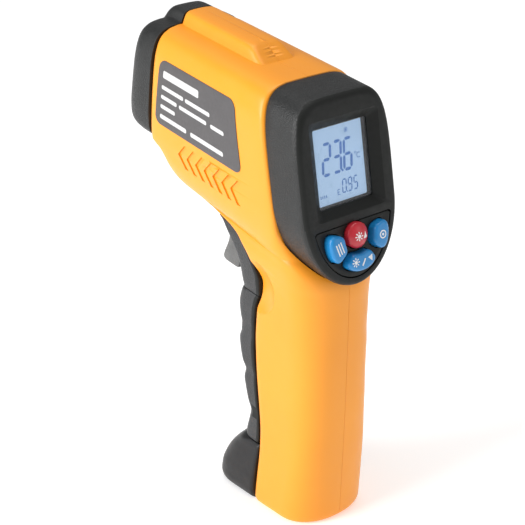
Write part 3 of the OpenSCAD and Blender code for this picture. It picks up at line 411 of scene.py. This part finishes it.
material("orange_shell", (1.0, 0.36, 0.022), 0.36, 0.05, 2600, 0.05, 0.03, 40, spec=0.45)
material("dark_shell", (0.012, 0.013, 0.013), 0.42, 0.1, 2400, 0.6, 0.15, 300, spec=0.42)
material("grip_dark", (0.022, 0.023, 0.025), 0.4, 0.1, 2200, 0.6, 0.15, 300, spec=0.6)
material("trigger_grey", (0.13, 0.13, 0.128), 0.46, 0.1, 2200, 0.55, 0.15, 300)
material("foot_dark", (0.014, 0.014, 0.015), 0.4, 0.08, 2600, 0.15, 0.1, 120, spec=0.35)
material("hood_side", (0.013, 0.014, 0.014), 0.4, 0.1, 2300, 0.65, 0.15, 300, spec=0.45)
material("bezel_black", (0.008, 0.009, 0.008), 0.5, 0.08, 3000, 0.06, 0.1, 120, spec=0.3)
material("label_grey", (0.085, 0.08, 0.082), 0.5, 0.08, 3000, 0.05, 0.06, 200)
material("label_print", (0.66, 0.66, 0.66), 0.5, 0.08, 3000, 0.05, 0.04, 300)
material("button_red", (0.56, 0.02, 0.035), 0.34, 0.06, 2500, 0.05, 0.06, 200, coat=0.2)
material("button_blue", (0.01, 0.24, 0.58), 0.34, 0.06, 2500, 0.05, 0.06, 200, coat=0.2)
material("button_print", (0.85, 0.86, 0.86), 0.45, 0.08, 2500, 0.05, 0.03, 200)
material("lcd_glass", (0.30, 0.45, 0.64), 0.3, 0.05, 2500, 0.02, 0.05, 40, emit=0.4)
material("lcd_ink", (0.014, 0.12, 0.42), 0.4, 0.05, 2500, 0.02, 0.04, 100, emit=0.25)
material("lcd_window", (0.9, 0.94, 1.0), 0.06, 0.03, 900, 0.01, 0.02, 50, alpha=0.06)
material("black_inner", (0.02, 0.02, 0.021), 0.6, 0.1, 2400, 0.3, 0.1, 200)
material("ir_lens", (0.5, 0.46, 0.4), 0.12, 0.04, 1800, 0.02, 0.06, 80, metallic=0.3, coat=0.6)
material("lens_ring", (0.03, 0.03, 0.032), 0.5, 0.1, 2400, 0.2, 0.1, 200)
material("sensor_metal", (0.62, 0.6, 0.56), 0.3, 0.1, 2000, 0.1, 0.06, 200, metallic=1)
material("pcb_green", (0.02, 0.13, 0.05), 0.35, 0.1, 1800, 0.15, 0.2, 300)
material("brass", (0.72, 0.5, 0.2), 0.3, 0.1, 2200, 0.15, 0.08, 200, metallic=1)
material("laser_window", (0.35, 0.02, 0.02), 0.1, 0.04, 1500, 0.02, 0.05, 60, coat=0.7)
material("backlight_white", (0.8, 0.82, 0.85), 0.35, 0.06, 2000, 0.03, 0.03, 80)
material("zebra_pink", (0.65, 0.28, 0.36), 0.6, 0.08, 2000, 0.1, 0.1, 300)
material("contact_rubber", (0.26, 0.26, 0.26), 0.65, 0.08, 2000, 0.1, 0.06, 200)
material("steel", (0.55, 0.55, 0.56), 0.28, 0.1, 2600, 0.1, 0.06, 300, metallic=1)
material("steel_dark", (0.2, 0.2, 0.21), 0.35, 0.1, 2600, 0.15, 0.08, 300, metallic=1)
material("cell_jacket", (0.12, 0.125, 0.14), 0.3, 0.06, 2500, 0.04, 0.08, 60, coat=0.3)

# ---------------------------------------------------------------- housing halves
# Screws: along the barrel, height, outer end of the boss
SCREWS = [[30, 32.6, 16.8], [9, 65, 16.3], [-14, 28, 17.4], [-34, 4, 12.6], [-33, -64, 13.6]]
HOUSING_Z = [r[0] for r in HOUSING]


def side_x(y, z):
    """Half width of the shell at a place on its side."""
    r = [z] + [float(pchip(HOUSING_Z, [q[j] for q in HOUSING], z)[0]) for j in range(1, 7)]
    front, rear = r[1], r[2]
    mid = middle(front, rear, z, True)
    p = r[5] if y > mid else r[6]
    c = (y - mid) / (front - mid) if y > mid else (mid - y) / (mid - rear)
    ca = min(c, 0.9999) ** (1 / p)
    w = r[3] + (r[4] - r[3]) * (y - rear) / (front - rear)
    return w * math.sqrt(1 - ca * ca) ** p


CHEVRONS, CHEVRON_Y, CHEVRON_Z, CHEVRON_PITCH, CHEVRON_CUT = 7, 24.8, 34.4, 4.62, 0.5


def chevrons(side):
    """Tool that cuts the row of arrow marks into a shell's flank."""
    pts, faces = [], []
    h, arm, wide = 4.3, 3.4, 1.8
    for i in range(CHEVRONS):
        y, z = CHEVRON_Y - i * CHEVRON_PITCH, CHEVRON_Z
        x = side_x(y - 2, z)
        shape = [[y, z], [y - arm, z + h], [y - arm - wide, z + h], [y - wide, z],
                 [y - arm - wide, z - h], [y - arm, z - h]]
        k = len(pts)
        pts += [[side * (side_x(a, b) - CHEVRON_CUT), a, b] for a, b in shape]
        pts += [[side * (x + 3), a, b] for a, b in shape]
        faces += [[k, k + 1, k + 2, k + 3], [k, k + 3, k + 4, k + 5]]
        faces += [[k + 9, k + 8, k + 7, k + 6], [k + 11, k + 10, k + 9, k + 6]]
        faces += [[k + j, k + (j + 1) % 6, k + 6 + (j + 1) % 6, k + 6 + j] for j in range(6)]
    return mesh_object("chevron_tool", pts, faces)


def ball(name, c, r, n=48):
    loops = []
    for k in range(1, n):
        a = math.pi * k / n
        loops.append([[c[0] + r * math.sin(a) * math.cos(t), c[1] + r * math.sin(a) * math.sin(t),
                       c[2] + r * math.cos(a)] for t in (2 * math.pi * i / 96 for i in range(96))])
    return rings(name, loops)


def housing(side, name, node, head):
    """One shell; the one whose side takes the screw heads has a boss and a hole for each."""
    boss_r, hole_r, boss_in, hole_in = 3.2, 2.6, 8, 9.2
    ob = half_loft(name, HOUSING, side)
    carve(ob, [half_loft("ridge", RIDGE, side, step=0.15)], "UNION")
    seat = rings("seat", [hood_ring(-0.35, HOOD_DEPTH), hood_ring(-0.35, -8)], FACE)
    tools = [half_loft("cavity", CAVITY, side, 40, -2, 3), seat,
             block("slot", [-8 * side, -6, 16], [7.9 * side, 17.2, 23.6]),
             ball("scoop", [side * 30.3, -14.6, 1.9], 17.5), chevrons(side)]
    carve(ob, tools)
    if head:
        bosses = [rod("boss", "x", boss_r, side * boss_in, side * x, y, z) for y, z, x in SCREWS]
        carve(ob, bosses, "UNION")
        carve(ob, [rod("hole", "x", hole_r, side * hole_in, side * 24, y, z) for y, z, x in SCREWS])
    soften(ob, 0.18, 40, 2)
    return finish_piece(ob, "orange_shell", "housing", [node])


housing(-1, "left_housing_shell", "left_housing", False)
housing(1, "right_housing_shell", "right_housing", True)

# ---------------------------------------------------------------- nose cap
# Along the barrel, inset of the outline, share of the ridge that is left
NOSE_ROWS = [[41.35, 0, 1], [45.5, 0.05, 1], [48.4, 0.25, 1], [50.2, 0.5, 0.95], [51.8, 0.9, 0.76],
             [53.2, 1.5, 0.42], [54.5, 2.3, 0.14], [55.3, 3.2, 0.06], [55.6, 4.2, 0.04]]
# Half of the outline from the top to the bottom: half width, height
NOSE_SIDE = [[0, 75.65], [2.6, 75.6], [4.7, 75.4], [6.1, 74.6], [6.9, 73], [7.4, 71.7], [10, 71.4],
             [12.9, 70.9], [15.2, 69.8], [16.9, 68], [17.9, 65.5], [18.6, 62], [18.95, 57], [19, 50],
             [18.9, 43], [18.55, 39], [18, 36.2], [16.6, 34.2], [14, 33.2], [8, 32.9], [0, 32.8]]


# Where the nose starts and how long it leans for, the height its front leans about and by how much
NOSE_BACK, NOSE_RUN, LEAN_FROM, NOSE_LEAN = 41.35, 13.85, 36, 0.065
# Middle height, half width and half height that the insets shrink, and where the ridge starts
NOSE_MID, NOSE_HALF, NOSE_TALL, RIDGE_FROM = 50, 19, 20.5, 71.4


def nose():
    run = [0]
    for a, b in zip(NOSE_SIDE, NOSE_SIDE[1:]):
        run.append(run[-1] + math.dist(a, b))
    at = [run[-1] * i / 110 for i in range(111)]
    xs = pchip(run, [q[0] for q in NOSE_SIDE], at)
    zs = pchip(run, [q[1] for q in NOSE_SIDE], at)
    half = list(zip(xs.tolist(), zs.tolist()))
    full = [(1, q) for q in half] + [(-1, q) for q in half[-2:0:-1]]
    loops = []
    for y, inset, share in dense(NOSE_ROWS, 0.5):
        lean = (y - NOSE_BACK) / NOSE_RUN
        ring = []
        for side, (x, z) in full:
            flat = min(z, RIDGE_FROM)
            z = flat + (z - flat) * share
            ring.append([side * x * (1 - inset / NOSE_HALF), y - lean * NOSE_LEAN * (z - LEAN_FROM),
                         NOSE_MID + (z - NOSE_MID) * (1 - inset / NOSE_TALL)])
        loops.append(ring)
    ob = rings("nose_cap_shell", loops)
    inner = 0.88
    inside = [(side * x * inner, NOSE_MID + (min(z, 71.2) - NOSE_MID) * inner) for side, (x, z) in full]
    carve(ob, [rings("inside", [[[x, y, z] for x, z in inside] for y in (38.4, 50.4)]),
               rod("mouth", "y", 10.2, 38, 60, 0, 47.5, 72), rod("eye", "y", 2.5, 38, 60, 0, 64, 40)])
    soften(ob, 0.35, 40, 3)
    finish_piece(ob, "dark_shell", "housing", ["nose_cap"])


nose()

# ---------------------------------------------------------------- display hood
def rrect(hw, lo, hi, r, depth, n=8):
    """Rounded rectangle on the face at a depth."""
    pts = []
    corners = ((hw - r, hi - r, 0), (-hw + r, hi - r, 90), (-hw + r, lo + r, 180), (hw - r, lo + r, 270))
    for cx, cy, a0 in corners:
        for i in range(n + 1):
            a = math.radians(a0 + 90 * i / n)
            pts.append([cx + r * math.cos(a), cy + r * math.sin(a), -depth])
    return pts


KEYPAD_HALF, KEYPAD_DOWN, KEYPAD_TOP = 16.4, 22.4, -8.6


def keypad_outline(d, depth, n=72):
    """Half ellipse with a level top and round corners, inset by d."""
    a, b = KEYPAD_HALF - d, KEYPAD_DOWN - d
    low = KEYPAD_TOP - d
    t0 = math.asin((HOOD_MID - low) / b)
    pts = [[a * math.cos(t), HOOD_MID - b * math.sin(t), -depth] for t in
           (t0 + (math.pi - 2 * t0) * i / n for i in range(n + 1))]
    r = 1.3
    x0 = pts[-1][0]
    top = [[x0 + r * (1 - math.cos(t)), low - r * (1 - math.sin(t)), -depth]
           for t in (math.pi / 2 * i / 6 for i in range(1, 7))]
    keep = [p for p in pts if p[1] < low - r]
    return keep + top + [[-p[0], p[1], p[2]] for p in top[::-1]]


# Recess round the display: half width, low and high edge at the face, how far each comes in, depth
RIM, FLARE, RECESS = (14.2, -6.1, 24.5), (3.2, 2.9, 2.7), 2.2
OPENING = (11, -3.2, 21.8)


def bezel():
    wall, crown_in, crown_deep, above = 2.2, 2.1, 2.6, 0.5
    loops = [hood_ring(0, d) for d in (13.85, 11, 8, 5, 2.8)]
    for i in range(1, 11):
        t = math.pi / 2 * i / 10
        loops.append(hood_ring(crown_in * (1 - math.cos(t)), crown_deep * (1 - math.sin(t))))
    ob = rings("display_bezel_shell", loops, FACE)
    half, low, high = (above * f / RECESS for f in FLARE)
    mouth = rrect(RIM[0] + half, RIM[1] - low, RIM[2] + high, 1.9, -above)
    carve(ob, [rings("hollow", [hood_ring(wall, 15), hood_ring(wall, 2.7)], FACE),
               rings("recess", [mouth, rrect(*OPENING, 0.9, RECESS), rrect(*OPENING, 0.9, 5)], FACE),
               rings("keys", [keypad_outline(0, -1), keypad_outline(0, 5)], FACE)])
    soften(ob, 0.28, 30, 3)
    finish_piece(ob, "bezel_black", "housing", ["display_bezel"], 32)
    ob.data.materials.append(MATS["hood_side"])
    for f in ob.data.polygons:
        if f.normal.dot(FACE_OUT) < 0.55:
            local = FACE.inverted() @ f.center
            if abs(local.x) > 15.2 or local.z < -2.5 or local.y > 25.5 or local.y < -10:
                f.material_index = 1


bezel()

# Middle of the round key, and the keys round it: radius, half depth, direction, half angle
BUTTON_V = -12.8
LASER_R, LASER_HOLE_R, KEY_GAP = 4.1, 4.45, 0.35
SECTORS = {"button_unit": (8.4, 2.8, 270, 36), "button_select": (9.2, 3.1, 192, 25),
           "button_emit": (9.2, 3.1, 348, 25)}


def sector(b, inset, depth, n=96):
    r, dr, a, da = b
    dr, da = dr - inset, math.radians(da) - inset / r
    pts = []
    for i in range(n):
        t = 2 * math.pi * i / n
        rr = r + dr * spow(math.cos(t), 0.6)
        aa = math.radians(a) + da * spow(math.sin(t), 0.6)
        pts.append([rr * math.cos(aa), BUTTON_V + rr * math.sin(aa), -depth])
    return pts


def circle(r, depth, n=96):
    return [[r * math.cos(2 * math.pi * i / n), BUTTON_V + r * math.sin(2 * math.pi * i / n), -depth]
            for i in range(n)]


panel_loops = [keypad_outline(0.3, 2.5), keypad_outline(0.3, 0.3), keypad_outline(0.45, 0.15)]
panel = rings("keypad_panel_shell", panel_loops, FACE)
carve(panel, [rings("hole", [circle(LASER_HOLE_R, 4), circle(LASER_HOLE_R, -1)], FACE)]
      + [rings("hole", [sector(b, -KEY_GAP, 4), sector(b, -KEY_GAP, -1)], FACE) for b in SECTORS.values()])
soften(panel, 0.12, 40, 2)
finish_piece(panel, "bezel_black", "housing", ["keypad_panel"])

# Height above the face and inset of a key's crown
CROWN = [(-2.7, 0), (1.5, 0), (2.0, 0.06), (2.35, 0.22), (2.6, 0.46), (2.76, 0.8), (2.84, 1.2), (2.88, 1.7),
         (2.9, 2.2)]
KEYS = {}


def key(name, loops, slot):
    """A key's cap, and a tree of its faces for the print on it."""
    ob = rings(name + "_cap", loops, FACE)
    finish_piece(ob, slot, name, [name], 50)
    bm = bmesh.new()
    bm.from_mesh(ob.data)
    KEYS[name] = BVHTree.FromBMesh(bm)
    bm.free()


for key_name, b in SECTORS.items():
    key(key_name, [sector(b, i, -h) for h, i in CROWN], "button_blue")
laser_loops = [circle(LASER_R, 2.7), circle(LASER_R, -1.2), circle(4.06, -1.34)]
dome_r, dome_top = 6.4, 2.9
for i in range(1, 14):
    r = 4.0 * (1 - i / 14)
    laser_loops.append(circle(r, -(dome_top - (dome_r - math.sqrt(dome_r ** 2 - r * r)))))
key("button_laser", laser_loops, "button_red")


def flat_mark(name, shapes, frame_at, slot, body, thick=0.06, cuts=0, drop=None):
    """Thin printed mark made of closed outlines; drop places each point on the surface under it."""
    bm = bmesh.new()
    for shape in shapes:
        bm.faces.new([bm.verts.new((p[0], p[1], 0)) for p in shape])
    bmesh.ops.triangulate(bm, faces=bm.faces)
    if cuts:
        bmesh.ops.subdivide_edges(bm, edges=bm.edges, cuts=cuts, use_grid_fill=True)
    for v in bm.verts:
        v.co = drop(v.co.x, v.co.y) if drop else frame_at @ Vector((v.co.x, v.co.y, 0))
    bmesh.ops.recalc_face_normals(bm, faces=bm.faces)
    me = bpy.data.meshes.new(name)
    bm.to_mesh(me)
    bm.free()
    ob = bpy.data.objects.new(name, me)
    bpy.context.scene.collection.objects.link(ob)
    m = ob.modifiers.new("thick", "SOLIDIFY")
    m.thickness = thick * MM
    m.offset = 0
    bpy.context.view_layer.update()
    apply_modifiers(ob)
    return finish_piece(ob, slot, body)


def bar(x0, y0, x1, y1, w):
    d = Vector((x1 - x0, y1 - y0)).normalized() * w / 2
    return [(x0 - d.y, y0 + d.x), (x0 + d.y, y0 - d.x), (x1 + d.y, y1 - d.x), (x1 - d.y, y1 + d.x)]


def disc(x, y, r, n=20):
    turns = [2 * math.pi * i / n for i in range(n)]
    return [(x + r * math.cos(a), y + r * math.sin(a)) for a in turns]


def sun(x, y, s=1.0):
    rays = [2 * math.pi * i / 8 for i in range(8)]
    near, far = 0.66 * s, 1.2 * s
    bars = [bar(x + near * math.cos(a), y + near * math.sin(a),
                x + far * math.cos(a), y + far * math.sin(a), 0.28 * s) for a in rays]
    return [disc(x, y, 0.5 * s)] + bars


def arc_band(x, y, r, w, a0, a1, n=16):
    out = [(x + (r + w / 2) * math.cos(a), y + (r + w / 2) * math.sin(a)) for a in
           (math.radians(a0 + (a1 - a0) * i / n) for i in range(n + 1))]
    inn = [(x + (r - w / 2) * math.cos(a), y + (r - w / 2) * math.sin(a)) for a in
           (math.radians(a0 + (a1 - a0) * i / n) for i in range(n + 1))]
    return [[out[i], out[i + 1], inn[i + 1], inn[i]] for i in range(n)]


def turned(shapes, x, y, deg):
    c, s = math.cos(math.radians(deg)), math.sin(math.radians(deg))
    return [[(x + p[0] * c - p[1] * s, y + p[0] * s + p[1] * c) for p in sh] for sh in shapes]


def on_key(name):
    tree = KEYS[name]

    def drop(x, y):
        origin = FACE @ Vector((x, y, 12))
        hit = tree.ray_cast(origin, -FACE_OUT)[0]
        return (hit if hit else FACE @ Vector((x, y, 2.8))) + FACE_OUT * 0.02 * MM
    return drop


def polar(r, a):
    return r * math.cos(math.radians(a)), BUTTON_V + r * math.sin(math.radians(a))


MARKS = {
    "button_laser": sun(-0.75, BUTTON_V - 0.1, 1.2)
    + [[(0.95, BUTTON_V - 1.15), (2.85, BUTTON_V - 1.15), (1.9, BUTTON_V + 0.9)]],
    "button_unit": sun(*polar(8.4, 248), 1.2)
    + [bar(polar(7.4, 268)[0] - 0.3, polar(9.4, 268)[1], polar(7.4, 272)[0] + 0.5, polar(7.4, 272)[1], 0.5)]
    + turned([[(-1.0, 0.8), (1.0, 0.8), (0, -1.1)]], *polar(8.4, 292), 20),
    "button_select": turned([bar(-1.9, v, 1.9, v, 0.42) for v in (-0.95, 0, 0.95)], *polar(9.2, 192), -72),
    "button_emit": turned(arc_band(0, 0, 1.15, 0.4, 0, 360, 28) + [disc(0, 0, 0.42)], *polar(9.2, 348), 0),
}
for key_name, shapes in MARKS.items():
    flat_mark(key_name + "_mark", shapes, FACE, "button_print", key_name, 0.08, 3, on_key(key_name))

# ---------------------------------------------------------------- liquid crystal display
LCD_FRONT = 3.585
mask = rings("lcd_mask", [rrect(12.3, -6.9, 23.3, 0.5, LCD_FRONT), rrect(12.3, -6.9, 23.3, 0.5, 3.47)], FACE)
carve(mask, [rings("hole", [rrect(9.95, -2.4, 21.2, 0.5, 4), rrect(9.95, -2.4, 21.2, 0.5, 3)], FACE)])
finish_piece(mask, "black_inner", "housing")

SEGMENTS = {"0": "abcdef", "2": "abged", "3": "abgcd", "5": "afgcd", "6": "afgedc", "9": "abcdfg"}


def digit(ch, x, y, w, h, t):
    """Seven-segment figure with its lower left corner at x, y."""
    g = t * 0.22
    spots = {"a": (0, h, w, h), "d": (0, 0, w, 0), "g": (0, h / 2, w, h / 2), "f": (0, h / 2, 0, h),
             "e": (0, 0, 0, h / 2), "b": (w, h / 2, w, h), "c": (w, 0, w, h / 2)}
    out = []
    for s in SEGMENTS[ch]:
        x0, y0, x1, y1 = spots[s]
        u = Vector((x1 - x0, y1 - y0)).normalized()
        n = Vector((-u.y, u.x)) * t / 2
        a, b = Vector((x0, y0)) + u * g, Vector((x1, y1)) - u * g
        ring = [a, a + u * t / 2 - n, b - u * t / 2 - n, b, b - u * t / 2 + n, a + u * t / 2 + n]
        out.append([(x + p.x + 0.09 * p.y, y + p.y) for p in ring])
    return out


def lcd_xy(fx, fv):
    """Place on the display from shares of its width and height."""
    return -9.95 + 19.9 * fx, -2.4 + 23.6 * fv


ink = []
for ch, fx in (("2", 0.14), ("3", 0.36), ("6", 0.58)):
    x, y = lcd_xy(fx, 0.39)
    ink += digit(ch, x, y, 3.0, 9.4, 0.95)
ink.append(disc(lcd_xy(0.54, 0.39)[0], lcd_xy(0.5, 0.395)[1], 0.42))
for ch, fx in (("0", 0.50), ("9", 0.62), ("5", 0.74)):
    x, y = lcd_xy(fx, 0.10)
    ink += digit(ch, x, y, 1.45, 4.0, 0.44)
ink.append(disc(lcd_xy(0.60, 0.10)[0], lcd_xy(0.6, 0.1)[1], 0.22))
x, y = lcd_xy(0.86, 0.53)
ink += arc_band(x - 0.55, y + 1.0, 0.34, 0.17, 0, 360, 16) + arc_band(x + 0.75, y, 0.8, 0.26, 50, 310, 16)
ink += sun(*lcd_xy(0.68, 0.9), 0.75)
x, y = lcd_xy(0.40, 0.09)
ink += [bar(x, y, x, y + 1.6, 0.24), bar(x, y, x + 0.9, y, 0.24), bar(x, y + 0.8, x + 0.8, y + 0.8, 0.24),
        bar(x, y + 1.6, x + 0.9, y + 1.6, 0.24)]
x, y = lcd_xy(0.05, 0.10)
ink += [bar(x + 0.75 * i, y, x + 0.75 * i, y + 0.9, 0.34) for i in range(4)]
flat_mark("lcd_figures", ink, FACE @ Matrix.Translation((0, 0, -LCD_FRONT)), "lcd_ink", "housing", 0.03)

# ---------------------------------------------------------------- trigger, surround, door, foot
def painted_shade_strip(ob, rows, width=2.3):
    """Painted shade: a darker band along the rear edge of a grip piece, where its side lies in shade."""
    ob.data.materials.append(MATS["bezel_black"])
    back_to_mm = PLACE.inverted()
    rows = sorted(rows)
    zs, rears = [r[0] for r in rows], [r[2] for r in rows]
    for f in ob.data.polygons:
        c = back_to_mm @ f.center
        if c.y < np.interp(c.z, zs, rears) + width:
            f.material_index = 1


finish_piece(full_loft("trigger_blade", TRIGGER, 96, 0.6), "trigger_grey", "trigger", ["trigger"], 40)

surround = full_loft("trigger_surround_shell", SURROUND)
carve(surround, [block("slot", [-7.55, -4.4, 3], [7.55, 20, 21]),
                 block("room", [-11.8, -18, 1.2], [11.8, -5.6, 21]),
                 rod("seat", "y", 2.5, -5, -3.4, 0, 8), rod("lever", "y", 1.5, -7, -4, 0, 17.2)])
soften(surround, 0.3, 40, 2)
finish_piece(surround, "grip_dark", "housing", ["trigger_surround"])
# Painted shade: a darker band along the surround's rear edge
painted_shade_strip(surround, SURROUND)

HINGE_Y, HINGE_Z = -14.9, -54

door = full_loft("battery_door_shell", DOOR, 128, 0.6)
carve(door, [full_loft("inside", DOOR_CAVITY, 96, 3),
             block("slot", [-10.5, -30, -65], [-7.9, -13.1, -52.2]),
             block("slot", [7.9, -30, -65], [10.5, -13.1, -52.2]),
             rod("bore", "x", 0.85, -11.6, 11.6, HINGE_Y, HINGE_Z, 32)])
soften(door, 0.25, 45, 2)
finish_piece(door, "grip_dark", "battery_door", ["battery_door"])
# Painted shade: a darker band along the door's rear edge
painted_shade_strip(door, DOOR)

foot = full_loft("foot_shell", FOOT, 128, 0.6)
arm_wide = 2
for x in (-10.2, 8.2):
    carve(foot, [rod("eye", "x", 1.5, x, x + arm_wide, HINGE_Y, HINGE_Z, 32),
                 block("arm", [x, -22.2, -55.2], [x + arm_wide, HINGE_Y, -52.9]),
                 block("post", [x, -22.2, -60], [x + arm_wide, -18.5, HINGE_Z])], "UNION")
soften(foot, 0.25, 45, 2)
finish_piece(foot, "foot_dark", "housing", ["foot"])


# ---------------------------------------------------------------- side labels
LABEL_LONG, LABEL_TALL, LABEL_Z = 43, 22.1, 41.3


def label_spot(side, s, t, lift):
    """Point over a shell's flank: s runs from the label's front to its rear, t from its foot to its top."""
    f, r = 37.2 - 0.8 * t, -8.4 + 6.8 * t
    y, z = f + (r - f) * s, LABEL_Z + LABEL_TALL * t
    return [side * (side_x(y, z) + lift), y, z]


def label_shape(half_s, half_t, cs, ct, r):
    rs, rt = r / LABEL_LONG, r / LABEL_TALL
    pts = []
    for sx, sy, a0 in ((1, 1, 0), (-1, 1, 90), (-1, -1, 180), (1, -1, 270)):
        for i in range(9):
            a = math.radians(a0 + 90 * i / 8)
            s, t = sx * (half_s - rs) + rs * math.cos(a), sy * (half_t - rt) + rt * math.sin(a)
            pts.append((cs + s, ct + t))
    dense_pts = []
    for a, b in zip(pts, pts[1:] + pts[:1]):
        n = max(1, int(math.hypot((b[0] - a[0]) * LABEL_LONG, (b[1] - a[1]) * LABEL_TALL) / 1.6))
        dense_pts += [(a[0] + (b[0] - a[0]) * i / n, a[1] + (b[1] - a[1]) * i / n) for i in range(n)]
    return dense_pts


def patch(name, side, half_s, half_t, cs, ct, r, low, high, slot, replaces=(), steps=7):
    """Film that follows the flank between two heights above it."""
    base = label_shape(half_s, half_t, cs, ct, r)
    levels = [(1.0, low), (1.0, high - 0.03), (1 - 0.08 / (half_t * LABEL_TALL), high)]
    levels += [(1 - k / steps, high) for k in range(1, steps)] + [(0.02, high)]
    loops = [[label_spot(side, cs + (s - cs) * q, ct + (t - ct) * q, h) for s, t in base]
             for q, h in levels]
    return finish_piece(rings(name, loops), slot, "housing", replaces)


# Blocks of print: centre along the label, centre height, half length, half height
PRINT = [(0.30, 0.80, 0.235, 0.055), (0.20, 0.60, 0.14, 0.03), (0.52, 0.60, 0.155, 0.03),
         (0.16, 0.45, 0.10, 0.03), (0.46, 0.45, 0.17, 0.03), (0.76, 0.45, 0.08, 0.03),
         (0.15, 0.30, 0.09, 0.03), (0.22, 0.14, 0.16, 0.034), (0.62, 0.14, 0.19, 0.034)]
for side, word in ((-1, "left"), (1, "right")):
    patch(word + "_label_film", side, 0.5, 0.5, 0.5, 0.5, 3.0, 0.06, 0.30, "label_grey", [word + "_label"])
    for i, (cs, ct, hs, ht) in enumerate(PRINT):
        ob = patch(f"{word}_print_{i}", side, hs, ht, cs, ct, 0.55, 0.22, 0.335, "label_grey", steps=2)
        ob.data.materials[0] = MATS["label_print"]

# ---------------------------------------------------------------- pieces that keep their machined shape
for row in frame["record"]["subparts"]:
    o = nodes[row["node"]]
    o.data.materials.clear()
    o.data.materials.append(MATS[row["material_slot"]])
    shade(o.data, 30)

# ---------------------------------------------------------------- floor, light, camera
FLOOR_R, FLOOR_N = 5000, 64
turns = [2 * math.pi * i / FLOOR_N for i in range(FLOOR_N)]
floor = rings("floor", [[[FLOOR_R * math.cos(a), FLOOR_R * math.sin(a), z] for a in turns]
                        for z in (-8, -0.02)], Matrix.Scale(MM, 4))
material("studio_floor", (0.93, 0.93, 0.93), 0.75, 0.05, 40, 0.02, 0.01, 2, spec=0.2, emit=0.4)
floor.data.materials.append(MATS["studio_floor"])

world = bpy.data.worlds.new("studio")
world.use_nodes = True
world.node_tree.nodes["Background"].inputs["Color"].default_value = (1, 1, 1, 1)
world.node_tree.nodes["Background"].inputs["Strength"].default_value = 0.34
scene = bpy.context.scene
scene.world = world
scene.view_settings.view_transform = "Standard"
scene.view_settings.look = "None"


def softbox(name, place, aim, size, watts, color=(1, 1, 1)):
    light = bpy.data.lights.new(name, "AREA")
    light.shape = "RECTANGLE"
    light.size, light.size_y = size
    light.energy = watts
    light.color = color
    ob = bpy.data.objects.new(name, light)
    ob.location = place
    ob.rotation_mode = "QUATERNION"
    ob.rotation_quaternion = (Vector(aim) - Vector(place)).to_track_quat("-Z", "Y")
    scene.collection.objects.link(ob)


softbox("key", (-1.2, 0.25, 0.6), (0, 0, 0.08), (0.6, 0.9), 16)
softbox("top", (0.1, 0.1, 1.3), (0, 0, 0.08), (0.9, 0.9), 5.5)
softbox("fill", (0.7, -1.1, 0.5), (0, 0, 0.08), (0.7, 0.9), 2.0)

# Camera: turn to the left rear, height and roll in the barrel's own frame
TURN, PITCH, ROLL, AWAY = 0.7501202, 0.5227737, 0.0945458, 0.4788125
back = Vector((-math.sin(TURN) * math.cos(PITCH), -math.cos(TURN) * math.cos(PITCH), math.sin(PITCH)))
right = Vector((math.cos(TURN), -math.sin(TURN), 0))
up = back.cross(right)
across = right * math.cos(ROLL) + up * math.sin(ROLL)
upward = up * math.cos(ROLL) - right * math.sin(ROLL)
look = Matrix((across, upward, back)).transposed().to_4x4()
look.translation = back * AWAY
camera = bpy.data.cameras.new("camera")
camera.sensor_width = 36
camera.lens = 98.61
camera.clip_start, camera.clip_end = 0.02, 30
cam = bpy.data.objects.new("camera", camera)
cam.matrix_world = STAND @ look
scene.collection.objects.link(cam)
scene.camera = cam
